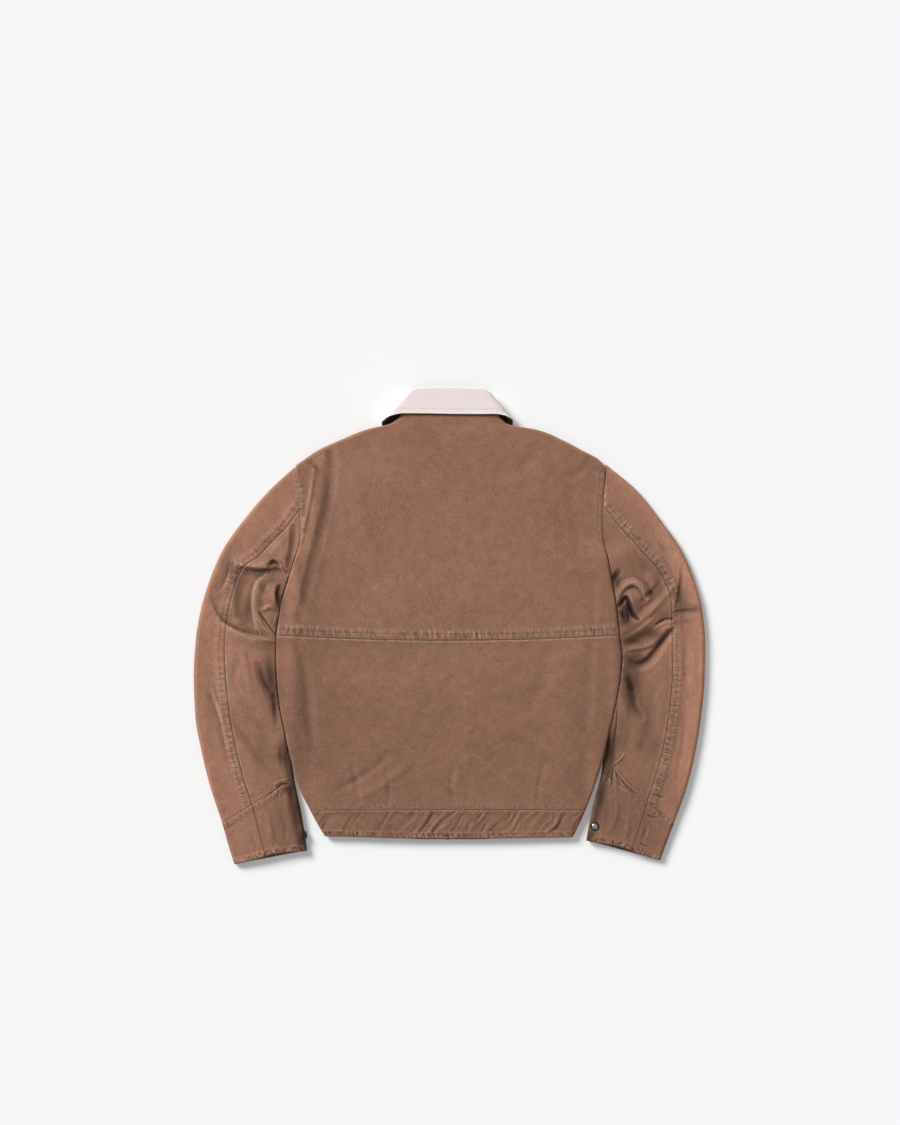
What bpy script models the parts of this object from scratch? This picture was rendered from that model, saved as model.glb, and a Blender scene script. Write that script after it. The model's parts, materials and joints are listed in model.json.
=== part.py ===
"""Harrington jacket, laid face down on a flat surface with its back up.

The cloth is modelled as walls. Each cut piece is its own closed solid, lofted from sections
that are worked out from the tables below, and stands 0.3 mm or more from its neighbours.
Sizes are in millimetres and are scaled to metres when a mesh is made.

+Z points up from the surface, +Y to the collar and +X to the wearer's right sleeve.
"""

import math
from collections import namedtuple

import bmesh
import bpy
from mathutils import Vector

MM = 0.001
SIDES = {"left": -1, "right": 1}

# Driving sizes, in millimetres.
WALL = 2.0  # body, sleeve and cuff cloth, with its seam allowances
BAND_WALL = 2.4  # folded waistband
LEAF_WALL = 1.9  # top collar
UNDERCOLLAR_WALL = 1.1
STAND_WALL = 1.3
SEAM = 0.4  # gap between two pieces that are sewn together
CENTRE_FRONT = -3.0  # where the zip lies across the jacket
FRONT_GAP = 6.0  # from the zip's middle to a front's edge
CROSS_SEAM_Y = -13.8
WAIST_SEAM_Y = -276.0
BAND_BOTTOM_BACK = -316.8
BAND_BOTTOM_FRONT = -320.0
NECK_FRONT_Y = 236.7
FRONT_TOP = 318.0  # the front's shoulder point at the neck
SHOULDER_Y = 238.2
UNDERARM_Y = 17.7
COLLAR_LIFT = 4.3  # the fronts lie this high over the collar's front leaves
LIFT_FULL_Y = 190.0  # above this line the fronts are lifted in full
LIFT_START_Y = 140.0
ARMHOLE_SEAM = 0.9  # gap where the flat fronts meet the sleeves
SLEEVE_LAP = 0.5  # the back's tuck ends this far inside the armhole
TUCK_CLEAR = 13.3  # highest a sleeve may reach under the body's side fold
ARMHOLE_CLEAR = 11.1  # the same under the back's armhole edge
TUCK_TAIL = 1.5  # shortest flat end past the roll of the back's side
FRONT_CORNER = 4.0  # radius where a front turns up at its side
FRONT_TAILS = (13.0, 8.8, 5.6, 2.8, 0.0)  # a front's last columns, back from its side edge
SPREAD_RIM = 0.8  # room that the back's wide rolls need over the fronts, for each unit of spread

# How many faces the lofts have.
BACK_COLUMNS, ROLL_COLUMNS, FRONT_COLUMNS = 9, 4, 4
RINGS, CUFF_STEPS = 22, 4
LEAF_TURNS, LEAF_STEPS, SNAP_STEPS = 5, 3, 16

# The body's sections, from the neck to the hem. x is where the side shows in plan, mid and
# top are the outer heights at the middle and by the side. The cloth then rolls through turn
# degrees with the radius roll, spread times wider than high. bow moves the middle along Y.
Body = namedtuple("Body", "y left right mid top roll spread turn bow rise")
BODY = [
    Body(324.4, -69.2, 70.0, 18.0, 17.6, 6.0, 1.6, 90, 3, 1),
    Body(312.0, -77.0, 76.0, 18.0, 17.4, 6.0, 1.8, 90, 2, 1),
    Body(306.0, -84.0, 82.0, 18.0, 17.2, 6.0, 2.0, 90, 1, 1),
    Body(302.2, -90.0, 86.0, 18.0, 17.2, 6.0, 2.0, 90, 1, 1),
    Body(299.2, -103.0, 98.0, 18.0, 17.2, 6.0, 2.2, 90, 1, 1),
    Body(295.5, -120.0, 124.5, 18.0, 17.2, 6.0, 2.2, 90, 1, 1),
    Body(278.7, -162.9, 168.6, 17.4, 17.0, 6.0, 2.2, 90, 0, 1),
    Body(263.7, -195.9, 197.1, 17.0, 16.6, 6.0, 2.0, 90, 0, 1),
    Body(248.7, -218.4, 224.1, 17.0, 16.0, 6.0, 1.7, 90, 0, 1),
    Body(238.2, -231.2, 232.3, 17.0, 15.6, 5.0, 1.3, 78, 0, 1),
    Body(234.6, -231.6, 232.8, 17.0, 15.0, 6.0, 1.1, 50, 0, 0),
    Body(226.2, -230.4, 232.3, 17.0, 14.6, 7.0, 1.0, 22, 0, 0),
    Body(196.2, -225.5, 230.4, 17.0, 14.2, 8.0, 1.0, 15, 0, 0),
    Body(163.2, -223.7, 229.3, 17.0, 14.2, 8.0, 1.0, 15, 0, 0),
    Body(136.2, -222.6, 229.8, 17.0, 14.8, 7.0, 1.0, 20, 0, 0),
    Body(121.2, -225.2, 232.3, 17.0, 17.8, 5.0, 1.0, 70, 0, 0),
    Body(104.7, -230.4, 236.1, 17.0, 21.4, 3.9, 1.0, 165, 0, 0),
    Body(73.2, -240.2, 242.1, 17.0, 21.5, 3.8, 1.0, 180, 0, 0),
    Body(34.2, -252.0, 248.8, 17.0, 21.5, 3.8, 1.0, 180, -3, 0),
    Body(14.0, -255.2, 251.3, 17.0, 21.5, 3.8, 1.0, 180, -5, 0.5),
    Body(-13.8, -258.9, 254.1, 17.0, 21.5, 3.8, 1.0, 180, -8, 1),
    Body(-46.8, -259.7, 257.5, 17.0, 21.5, 3.8, 1.0, 180, -6, 1),
    Body(-81.3, -258.2, 254.8, 17.0, 21.5, 3.8, 1.0, 180, -3, 1),
    Body(-118.8, -254.4, 248.1, 17.0, 21.5, 3.8, 1.0, 180, 0, 1),
    Body(-148.8, -248.4, 241.3, 16.5, 21.3, 3.8, 1.0, 180, 0, 1),
    Body(-171.3, -243.9, 236.1, 16.0, 20.8, 3.8, 1.0, 175, 0, 1),
    Body(-193.8, -239.0, 231.4, 15.5, 19.0, 4.4, 1.0, 140, 0, 1),
    Body(-223.8, -231.2, 222.6, 15.0, 16.0, 5.0, 1.0, 100, 0, 1),
    Body(-246.3, -223.7, 215.1, 14.0, 14.5, 5.0, 1.0, 90, 0, 1),
    Body(-276.0, -209.0, 203.5, 13.0, 13.0, 5.0, 1.0, 90, 1, 1),
    Body(-316.8, -186.9, 184.3, 12.5, 12.0, 5.0, 1.0, 90, -1, 1),
    Body(-321.0, -184.6, 182.0, 12.5, 12.0, 5.0, 1.0, 90, -1, 1),
]

# Rings of a sleeve from the armhole to the cuff's end. Each is a flattened tube between an
# outer and an inner point in plan, with the heights of both ends and of the middle. seam is
# how far across the elbow seam lies, from the outer end.
Ring = namedtuple("Ring", "out_x out_y in_x in_y bow out_z mid_z in_z seam")
SLEEVE = {
    "left": [
        Ring(-233.2, 237.2, -228.9, 17.7, 10.7, 9.0, 10.2, 10.2, 0.272),
        Ring(-269.4, 203.7, -230.4, 13.2, 6.0, 10.0, 14.0, 10.6, 0.33),
        Ring(-308.4, 158.7, -231.5, 8.7, 2.0, 11.0, 16.5, 11.0, 0.325),
        Ring(-339.9, 113.7, -231.9, 1.9, 0.0, 12.0, 18.0, 11.0, 0.245),
        Ring(-359.4, 68.7, -232.2, -6.3, 0.0, 12.0, 18.5, 11.0, 0.253),
        Ring(-372.9, 23.7, -232.5, -16.8, 0.0, 12.0, 18.5, 11.0, 0.265),
        Ring(-380.4, -21.3, -232.8, -33.3, 0.0, 12.0, 18.0, 11.0, 0.277),
        Ring(-383.4, -73.8, -233.4, -57.3, 0.0, 12.0, 18.0, 11.0, 0.302),
        Ring(-381.2, -133.8, -234.9, -96.3, 0.0, 12.0, 18.0, 11.0, 0.332),
        Ring(-371.4, -189.3, -236.4, -138.3, 0.0, 12.0, 17.5, 11.0, 0.352),
        Ring(-357.9, -243.3, -237.8, -186.3, 0.0, 12.0, 17.0, 10.6, 0.385),
        Ring(-340.7, -295.8, -234.3, -228.3, 0.0, 11.0, 16.0, 10.6, 0.41),
        Ring(-332.4, -325.8, -221.4, -283.8, 0.0, 10.5, 15.5, 12.0, 0.425),
        Ring(-322.7, -357.3, -213.2, -336.3, 0.0, 10.0, 14.5, 12.0, 0.435),
    ],
    "right": [
        Ring(234.0, 242.0, 232.8, 17.7, 5.0, 9.0, 10.2, 10.2, 0.268),
        Ring(279.6, 203.7, 234.6, 13.2, 3.0, 10.0, 14.0, 10.6, 0.325),
        Ring(315.6, 158.7, 235.8, 8.7, 1.0, 11.0, 16.5, 11.0, 0.312),
        Ring(347.1, 113.7, 236.4, 1.9, 0.0, 12.0, 18.0, 11.0, 0.275),
        Ring(366.6, 68.7, 236.8, -6.3, 0.0, 12.0, 18.5, 11.0, 0.265),
        Ring(378.6, 23.7, 237.3, -16.8, 0.0, 12.0, 18.5, 11.0, 0.31),
        Ring(383.1, -25.8, 237.6, -33.3, 0.0, 12.0, 18.0, 11.0, 0.326),
        Ring(382.3, -78.3, 237.6, -57.3, 0.0, 12.0, 18.0, 11.0, 0.321),
        Ring(377.1, -135.3, 236.1, -96.3, 0.0, 12.0, 18.0, 11.0, 0.32),
        Ring(368.1, -190.8, 232.8, -138.3, 0.0, 12.0, 17.5, 11.0, 0.326),
        Ring(354.6, -244.8, 230.6, -186.3, 0.0, 12.0, 17.0, 10.6, 0.355),
        Ring(336.6, -294.3, 227.6, -219.3, 0.0, 11.0, 16.0, 10.6, 0.372),
        Ring(326.1, -322.8, 212.8, -277.8, 0.0, 10.5, 15.5, 12.0, 0.375),
        Ring(315.6, -351.3, 204.6, -321.3, 0.0, 10.0, 14.5, 12.0, 0.395),
    ],
}
CUFF_RING = 11.0  # the ring where the cuff is sewn on
LAST_RING = 13.0
FRONT_SEAM = 0.12  # how far in from the inner end the seam lies on the sleeve's underside
SEAM_TURN = 0.002  # half a lengthwise seam's gap, as a share of the sleeve's width
RING_SEAM = 0.006  # half a cross seam's gap, as a share of a ring's step
VENT_EDGE = {"left": 2.8, "right": 2.5}  # where the inner cuff ends round the inner fold
VENT_LAP = 1.86  # where the outer cuff's hidden edge lies

# The main folds that show in the solids: a trough or ridge along a straight run in plan.
Fold = namedtuple("Fold", "x0 y0 x1 y1 half_width height")
FOLDS = [
    Fold(-309.9, 76.2, -308.4, -3.3, 13.0, -3.0),
    Fold(-288.9, 68.7, -287.4, -6.3, 12.0, 2.5),
    Fold(-314.4, 95.7, -262.0, 94.2, 11.0, 3.0),
    Fold(-330.9, 104.7, -335.4, 53.7, 10.0, -2.5),
    Fold(-326.4, 11.7, -281.4, -6.3, 12.0, -2.0),
    Fold(-278.4, -43.8, -268.0, -163.8, 12.0, -2.5),
    Fold(262.0, 43.2, 281.1, 68.7, 11.0, 3.0),
    Fold(281.1, 68.7, 309.6, 49.2, 11.0, 2.5),
    Fold(264.6, 38.7, 276.6, 13.2, 9.0, -4.0),
    Fold(281.1, 17.7, 323.1, 56.7, 10.0, 2.0),
    Fold(270.6, -6.3, 327.6, 28.2, 11.0, -2.0),
    Fold(266.0, -36.3, 297.6, -30.3, 9.0, 2.5),
    Fold(297.6, -30.3, 332.1, 5.7, 9.0, 2.0),
    Fold(268.0, -52.8, 297.6, -46.8, 10.0, -3.5),
    Fold(267.6, -69.3, 273.6, -148.8, 11.0, -3.0),
    Fold(348.6, 76.2, 348.6, 26.7, 10.0, -2.5),
    Fold(-200.0, 215.0, -203.0, -190.0, 26.0, -2.6),
    Fold(206.0, 60.0, 204.0, -190.0, 24.0, -1.6),
    Fold(-110.0, -60.0, 60.0, -190.0, 22.0, -1.2),
]

# The front neckline of the left front, from the zip up to the shoulder; the right mirrors it.
NECKLINE = [(-9.0, 236.7), (-18.9, 248.7), (-32.4, 263.7), (-44.4, 278.7), (-56.4, 293.7),
            (-64.5, 308.7), (-66.0, 320.0)]

# The collar from the centre back round one side to the front, with the fold's and the outer
# edge's places in plan, where the stand is sewn to the neck, and how far round it has turned.
Collar = namedtuple("Collar", "fold_x fold_y edge_x edge_y neck_x neck_y turn")
COLLAR = {
    "left": [
        Collar(0.0, 358.2, 0.0, 317.0, 0.0, 328.2, 0),
        Collar(-26.0, 358.0, -36.0, 317.8, -30.0, 327.8, 0),
        Collar(-47.0, 357.0, -68.0, 318.0, -56.0, 326.6, 0),
        Collar(-56.0, 353.8, -88.5, 314.2, -67.0, 327.6, 18),
        Collar(-59.8, 351.2, -98.5, 309.8, -70.3, 327.5, 52),
        Collar(-60.8, 348.6, -103.0, 305.6, -72.2, 326.4, 90),
        Collar(-59.5, 345.0, -102.0, 303.2, -71.2, 325.0, 128),
        Collar(-56.0, 338.0, -99.0, 301.0, -67.5, 325.0, 162),
        Collar(-50.0, 325.0, -95.0, 286.0, -61.2, 314.5, 180),
        Collar(-36.0, 290.0, -73.0, 241.0, -44.0, 283.0, 180),
        Collar(-17.0, 261.0, -50.0, 215.0, -22.0, 253.0, 180),
        Collar(-8.0, 247.0, -36.0, 206.0, -11.2, 240.6, 180),
    ],
    "right": [
        Collar(0.0, 358.2, 0.0, 317.0, 0.0, 328.2, 0),
        Collar(30.0, 357.6, 36.0, 316.8, 32.0, 327.8, 0),
        Collar(48.0, 356.0, 67.0, 317.0, 57.0, 326.6, 0),
        Collar(55.0, 353.0, 82.0, 315.0, 66.0, 327.6, 18),
        Collar(59.5, 351.0, 91.0, 312.0, 69.0, 327.2, 52),
        Collar(61.5, 348.0, 96.0, 308.2, 70.5, 326.0, 90),
        Collar(60.5, 344.5, 95.5, 304.5, 69.0, 324.8, 128),
        Collar(56.0, 338.0, 93.5, 301.0, 65.0, 325.0, 162),
        Collar(46.0, 325.0, 89.0, 286.0, 55.0, 314.5, 180),
        Collar(30.0, 290.0, 67.0, 241.0, 38.0, 283.0, 180),
        Collar(11.0, 261.0, 44.0, 215.0, 16.0, 253.0, 180),
        Collar(2.0, 247.0, 30.0, 206.0, 5.2, 240.6, 180),
    ],
}
COLLAR_BETWEEN = [1.5, 2.25, 2.5, 2.75, 3.25, 3.5, 3.75, 4.5, 5.5, 6.5, 7.5]  # more sections
COLLAR_ROLL = 3.2  # radius of the fold
COLLAR_MID = 11.15  # half of the collar's height where it lies round the neck
UNDERCOLLAR_GAP = 0.5
UNDERCOLLAR_SHOWS = 1.2  # how far the undercollar stands out past the top collar's edge
UNDERCOLLAR_START, UNDERCOLLAR_SIDE = 4.0, 6.0  # where it starts, and further in at the sides
UNDERCOLLAR_DEEPER = 0.6  # how much deeper it lies at the sides of the neck
FOLD_SEAM = 4.5  # the stand starts this far below the fold's inner end
SIDE_SEAM_SUNK = 6.5  # and this much further down at the sides of the neck
FRONT_SEAM_RISE = 3.0  # but nearer to the fold at the front ends

# The zip, closed, with its slider at the top. The pull hangs on the slider's bridge.
TAPE_INNER, TAPE_OUTER, TAPE_WALL = 1.3, 14.0, 0.8
CHAIN_HALF, CHAIN_LOW, CHAIN_WALL = 2.4, 0.6, 1.2
ZIP_TOP, ZIP_BOTTOM = 235.0, -311.5
BOX_HALF, BOX_LOW, BOX_HIGH = 4.2, 0.3, 3.4
SLIDER_LOW = 219.5
HINGE_ALONG, HINGE_UP = 4.7, 2.35

# Blocks of the slider, from its lower end and from the lifted fronts' outer face.
Block = namedtuple("Block", "half start end low high")
SLIDER = {
    "zip_slider": Block(4.5, 0.0, 12.0, -0.8, 1.9),
    "slider_post": Block(0.9, 8.6, 11.7, 1.6, 3.9),
    "slider_back": Block(4.5, 0.0, 12.0, 3.5, 4.5),
    "slider_bridge": Block(1.1, 1.2, 8.2, -4.0, -0.6),
}
SLIDER_WINDOW = Block(2.0, 2.4, 7.0, -3.1, -0.7)

# The pull and its two holes, from the hinge line.
PULL = Block(3.3, -31.0, 0.6, -0.6, 0.6)
PULL_HOLES = {
    "pull_hole": Block(1.5, -4.9, -0.6, -1.0, 1.0),
    "pull_tip_hole": Block(1.6, -28.8, -22.8, -1.0, 1.0),
}

# The cuffs' snaps: ring number and place round the ring, and profiles of radius and height.
SNAP_PLACE = {"left": (12.55, 2.3), "right": (12.42, 1.975)}
SNAP_RING = [(4.8, 0.9), (6.2, 0.9), (6.6, 0.5), (6.6, 0.0), (4.8, 0.0)]
SNAP_CAP = [(0.0, 2.2), (2.2, 2.1), (3.6, 1.6), (4.4, 0.8), (4.4, 0.0), (0.0, 0.0)]

# Colours, linear, with roughness and metallic value.
FINISH = {
    "canvas": ((0.290, 0.135, 0.092), 0.90, 0.0),
    "canvas_dark": ((0.150, 0.070, 0.050), 0.90, 0.0),
    "collar_cloth": ((0.780, 0.660, 0.640), 0.92, 0.0),
    "zip_tape": ((0.120, 0.070, 0.050), 0.85, 0.0),
    "zip_brass": ((0.600, 0.420, 0.180), 0.35, 1.0),
    "snap_dark": ((0.080, 0.075, 0.070), 0.45, 1.0),
    "snap_steel": ((0.560, 0.550, 0.530), 0.30, 1.0),
}


def smoothstep(start, end, value):
    share = min(1.0, max(0.0, (value - start) / (end - start)))
    return share * share * (3 - 2 * share)


def mix(a, b, share):
    return a + (b - a) * share


def curve_through(places, values, at):
    """A smooth curve through the values that never overshoots them."""
    last = len(places) - 1
    steps = [places[i + 1] - places[i] for i in range(last)]
    slopes = [(values[i + 1] - values[i]) / steps[i] for i in range(last)]
    i = max(0, min(last - 1, sum(1 for p in places[1:-1] if p <= at)))

    def tangent(k):
        if k == 0:
            return slopes[0]
        if k == last:
            return slopes[-1]
        before, after = slopes[k - 1], slopes[k]
        if before * after <= 0:
            return 0.0
        return 3 * (steps[k - 1] + steps[k]) / (
            (2 * steps[k] + steps[k - 1]) / before + (steps[k] + 2 * steps[k - 1]) / after)

    s = min(1.0, max(0.0, (at - places[i]) / steps[i]))
    h = steps[i]
    return (values[i] * (1 + 2 * s) * (1 - s) ** 2 + tangent(i) * h * s * (1 - s) ** 2
            + values[i + 1] * s * s * (3 - 2 * s) + tangent(i + 1) * h * s * s * (s - 1))


def body_at(y):
    """The body's section at any height, read from the table."""
    places = [-row.y for row in BODY]
    columns = zip(*BODY)
    return Body(*[curve_through(places, column, -y) for column in columns])


def ring_at(side, t):
    rows = SLEEVE[side]
    places = list(range(len(rows)))
    return Ring(*[curve_through(places, column, t) for column in zip(*rows)])


def lift(y):
    """How far the fronts are held off the surface by the collar's leaves and the zip pull."""
    return COLLAR_LIFT * smoothstep(LIFT_START_Y, LIFT_FULL_Y, y)


def fold_height(x, y):
    """What the main folds add to the outer height at a place in plan."""
    total = 0.0
    for fold in FOLDS:
        run = Vector((fold.x1 - fold.x0, fold.y1 - fold.y0))
        to_point = Vector((x - fold.x0, y - fold.y0))
        share = min(1.0, max(0.0, to_point.dot(run) / run.length_squared))
        distance = (to_point - run * share).length / fold.half_width
        if distance < 1:
            total += fold.height * (1 - distance * distance) ** 2
    return total


def armhole_reach(side, y):
    """How far out the armhole seam lies, along the sleeve's first ring."""
    ring = SLEEVE[side][0]
    share = min(1.0, max(0.0, (ring.out_y - y) / (ring.out_y - ring.in_y)))
    return abs(mix(ring.out_x, ring.in_x, share)) - ring.bow * 4 * share * (1 - share)


def inner_reach(side, y):
    """How far out the sleeve's inner edge lies below the underarm."""
    rows = SLEEVE[side]
    return abs(curve_through([-r.in_y for r in rows], [r.in_x for r in rows], -y))


def side_seam_reach(side, y):
    """Where the tucked side of the back ends, over the armhole or over the front's wall."""
    share = smoothstep(UNDERARM_Y + 3, UNDERARM_Y - 14, y)
    return mix(armhole_reach(side, y) - SLEEVE_LAP, inner_reach(side, y) - 1 - WALL, share)


def side_profile(side, y):
    """The back's side at one section: where the flat ends, the roll and the tuck's length."""
    row = body_at(y)
    reach = abs(getattr(row, side))
    turn = math.radians(row.turn)
    wide = row.roll * row.spread
    tail = TUCK_TAIL
    flat = reach - wide * math.sin(min(turn, math.pi / 2))
    if row.turn < 90:
        flat -= tail * math.cos(turn)
    after = flat + wide * math.sin(turn)
    if math.cos(turn) < -0.5:
        tail = max(tail, (after - side_seam_reach(side, y)) / -math.cos(turn))
    return row, flat, wide, turn, tail


def back_height(side, y, reach, row, flat):
    """The back's outer height across its flat part, with its soft folds."""
    share = min(1.0, reach / flat)
    near_edge = smoothstep(0.99, 0.90, share)
    x = SIDES[side] * reach
    return mix(row.mid, row.top, smoothstep(0.55, 1.0, share)) + fold_height(x, y) * near_edge


def back_side(profile, distance):
    """Reach and height on the back's side, by the distance along the cloth past the flat."""
    row, flat, wide, turn, _ = profile
    angle = min(distance / row.roll, turn)
    reach = flat + wide * math.sin(angle)
    height = row.top - row.roll * (1 - math.cos(angle))
    beyond = max(0.0, distance - row.roll * turn)
    return reach + beyond * math.cos(turn), height - beyond * math.sin(turn)


def back_end(side, y):
    """Reach and outer height of the back's sewn edge."""
    profile = side_profile(side, y)
    row, _, _, turn, tail = profile
    return back_side(profile, row.roll * turn + tail)


def back_section(y):
    """One section of the back, from the left edge over the middle to the right edge."""
    points = []
    for side in ("left", "right"):
        profile = side_profile(side, y)
        row, flat, _, turn, tail = profile
        arc = row.roll * turn
        half = []
        for k in range(BACK_COLUMNS + 1):
            reach = flat * k / BACK_COLUMNS
            shift = row.bow * (1 - (reach / flat) ** 2)
            height = back_height(side, y, reach, row, flat)
            half.append(Vector((SIDES[side] * reach, y + shift, height)))
        distances = [arc * k / ROLL_COLUMNS for k in range(1, ROLL_COLUMNS + 1)]
        for distance in distances + [arc + tail / 2, arc + tail]:
            reach, height = back_side(profile, distance)
            half.append(Vector((SIDES[side] * reach, y, height)))
        points = half[::-1] if side == "left" else points + half[1:]
    return points


def front_inner(side, y):
    """Where a front's inner edge lies: along the zip, and then along the neckline."""
    sign = SIDES[side]
    edge = CENTRE_FRONT + sign * FRONT_GAP
    if y <= NECK_FRONT_Y:
        return edge
    reach = curve_through([p[1] for p in NECKLINE], [p[0] for p in NECKLINE], y)
    offset = reach - NECKLINE[0][0]
    return edge + (offset if side == "left" else -offset)


def front_section(side, y):
    """One section of a front, from its inner edge to its side or armhole seam."""
    sign = SIDES[side]
    row = body_at(y)
    end_reach, end_height = back_end(side, y)
    under_tuck = smoothstep(110, 150, row.turn) * WALL
    base = lift(y)
    reach = mix(armhole_reach(side, y) - ARMHOLE_SEAM, end_reach + under_tuck, row.rise)
    rim = WALL * max(0.0, math.cos(math.radians(row.turn))) + SPREAD_RIM * (row.spread - 1)
    rise = max(0.0, row.rise * (end_height - rim - SEAM - base))
    corner = min(FRONT_CORNER, rise)
    inner = front_inner(side, y)
    points = []
    span = abs(sign * reach - inner) + rise / 2
    squeeze = min(1.0, 0.8 * span / FRONT_TAILS[0])
    arc = corner * math.pi / 2
    for tail in [tail * squeeze for tail in FRONT_TAILS]:
        if tail <= rise - corner:
            place = (reach, base + rise - tail)
        elif tail < rise - corner + arc:
            angle = (tail - rise + corner) / corner
            place = (reach - corner * (1 - math.cos(angle)), base + corner * (1 - math.sin(angle)))
        else:
            place = (reach - corner - (tail - rise + corner - arc), base)
        points.append(Vector((sign * place[0], y, place[1])))
    start = points[0].x
    flat = [Vector((mix(inner, start, k / FRONT_COLUMNS), y, base)) for k in range(FRONT_COLUMNS)]
    return flat + points


def ceiling(side, x, y):
    """The highest a sleeve may reach, where the body's side lies over it."""
    if y > SHOULDER_Y:
        return math.inf
    beyond = abs(x) - abs(getattr(body_at(y), side))
    limit = mix(ARMHOLE_CLEAR, TUCK_CLEAR, smoothstep(125, 104, y))
    return limit + max(0.0, beyond - 0.5) * 1.3


def sleeve_point(side, t, around, inset=0.0):
    """A point on a sleeve's outer surface.

    around runs 0..1 round the outer fold from the underside up, 1..2 over the seen side,
    2..3 round the inner fold and 3..4 back along the underside.
    """
    ring = ring_at(side, t)
    outer = Vector((ring.out_x, ring.out_y))
    inner = Vector((ring.in_x, ring.in_y))
    run = inner - outer
    length = run.length
    along = run / length
    toward_body = Vector((-along.y, along.x)) * -SIDES[side]
    out_r, in_r = ring.out_z / 2, ring.in_z / 2
    around %= 4
    part = around - int(around)
    if around < 1:
        angle = math.pi * part
        distance = out_r - (out_r - inset) * math.sin(angle)
        height = out_r - (out_r - inset) * math.cos(angle)
    elif around < 2:
        distance = mix(out_r, length - in_r, part)
        height = mix(ring.out_z, ring.in_z, part)
        height += (ring.mid_z - (ring.out_z + ring.in_z) / 2) * math.sin(math.pi * part) ** 2
    elif around < 3:
        angle = math.pi * part
        distance = length - in_r + (in_r - inset) * math.sin(angle)
        height = in_r + (in_r - inset) * math.cos(angle)
    else:
        distance = mix(length - in_r, out_r, part)
        height = inset
    share = distance / length
    place = outer + along * distance + toward_body * (ring.bow * 4 * share * (1 - share))
    if 1 <= around < 2:
        fade = math.sin(math.pi * part) ** 0.5 * smoothstep(0.0, 1.0, t)
        height += fold_height(place.x, place.y) * fade
        height = min(height, ceiling(side, place.x, place.y)) - inset
    return Vector((place.x, place.y, height))


def collar_frame(side, t):
    """The collar's fold, edge and neck points at t, with its inward and outward directions."""
    rows = COLLAR[side]
    places = list(range(len(rows)))
    row = Collar(*[curve_through(places, column, t) for column in zip(*rows)])
    turn = math.radians(row.turn)
    inward = Vector((row.edge_x - row.fold_x, row.edge_y - row.fold_y, 0))
    length = inward.length
    inward.normalize()
    sideways = Vector((inward.y, -inward.x, 0)) * -SIDES[side]
    outward = sideways * math.sin(turn) + Vector((0, 0, math.cos(turn)))
    middle = COLLAR_MID - COLLAR_ROLL
    centre = Vector((row.fold_x, row.fold_y, COLLAR_MID + middle * math.cos(turn)))
    centre += inward * COLLAR_ROLL
    centre -= sideways * COLLAR_ROLL * math.sin(turn)
    neck = Vector((row.neck_x, row.neck_y))
    return centre, inward, outward, length, neck


def leaf_section(side, t):
    """Top collar: round the fold from inside, then flat to its edge."""
    centre, inward, outward, length, _ = collar_frame(side, t)
    points = []
    for k in range(LEAF_TURNS + 1):
        angle = math.pi * k / LEAF_TURNS
        points.append(centre - outward * COLLAR_ROLL * math.cos(angle)
                      - inward * COLLAR_ROLL * math.sin(angle))
    for k in range(1, LEAF_STEPS + 1):
        share = k / LEAF_STEPS
        points.append(centre + outward * COLLAR_ROLL + inward * (length - COLLAR_ROLL) * share)
    return points


def undercollar_section(side, t):
    centre, inward, outward, length, _ = collar_frame(side, t)
    sideways = outward.cross(Vector((0, 0, 1))).length
    depth = COLLAR_ROLL - LEAF_WALL - UNDERCOLLAR_GAP - UNDERCOLLAR_DEEPER * sideways
    start = UNDERCOLLAR_START + UNDERCOLLAR_SIDE * sideways
    end = length - COLLAR_ROLL + UNDERCOLLAR_SHOWS
    return [centre + outward * depth + inward * mix(start, end, k / LEAF_STEPS)
            for k in range(LEAF_STEPS + 1)]


def stand_section(side, t):
    """Collar stand: from inside the fold straight down to the neck seam."""
    centre, inward, outward, _, neck = collar_frame(side, t)
    sunk = FOLD_SEAM + SIDE_SEAM_SUNK * outward.cross(Vector((0, 0, 1))).length
    sunk -= FRONT_SEAM_RISE * smoothstep(9, 10, t)
    start = centre - outward * COLLAR_ROLL + inward * sunk
    end = Vector((neck.x, neck.y, start.z))
    return [start.lerp(end, k / LEAF_STEPS) for k in range(LEAF_STEPS + 1)]


def make_material(name):
    colour, roughness, metallic = FINISH[name]
    material = bpy.data.materials.new(name)
    material.use_nodes = True
    shader = material.node_tree.nodes["Principled BSDF"]
    shader.inputs["Base Color"].default_value = (*colour, 1)
    shader.inputs["Roughness"].default_value = roughness
    shader.inputs["Metallic"].default_value = metallic
    return material


def make_object(name, mesh, finish, collection):
    piece = bpy.data.objects.new(name, mesh)
    material = make_material(finish)
    material.name = f"{name}_{finish}"
    mesh.materials.append(material)
    collection.objects.link(piece)
    return piece


def make_sheet(name, sections, wall, finish, collection, flip=False):
    """A cloth wall: a loft of open sections with its thickness laid inward."""
    shape = bmesh.new()
    grid = [[shape.verts.new(point * MM) for point in section] for section in sections]
    for row, following in zip(grid, grid[1:]):
        for k in range(len(row) - 1):
            corners = [row[k], row[k + 1], following[k + 1], following[k]]
            shape.faces.new(corners[::-1] if flip else corners)
    mesh = bpy.data.meshes.new(name)
    shape.to_mesh(mesh)
    shape.free()
    mesh.shade_smooth()
    piece = make_object(name, mesh, finish, collection)
    solid = piece.modifiers.new("Wall", "SOLIDIFY")
    solid.thickness = wall * MM
    solid.offset = -1
    return piece


def make_block(name, low, high, finish, collection):
    shape = bmesh.new()
    bmesh.ops.create_cube(shape, size=1)
    size = Vector(high) - Vector(low)
    middle = (Vector(high) + Vector(low)) / 2
    for vertex in shape.verts:
        vertex.co = Vector([vertex.co[i] * size[i] + middle[i] for i in range(3)]) * MM
    mesh = bpy.data.meshes.new(name)
    shape.to_mesh(mesh)
    shape.free()
    return make_object(name, mesh, finish, collection)


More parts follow.
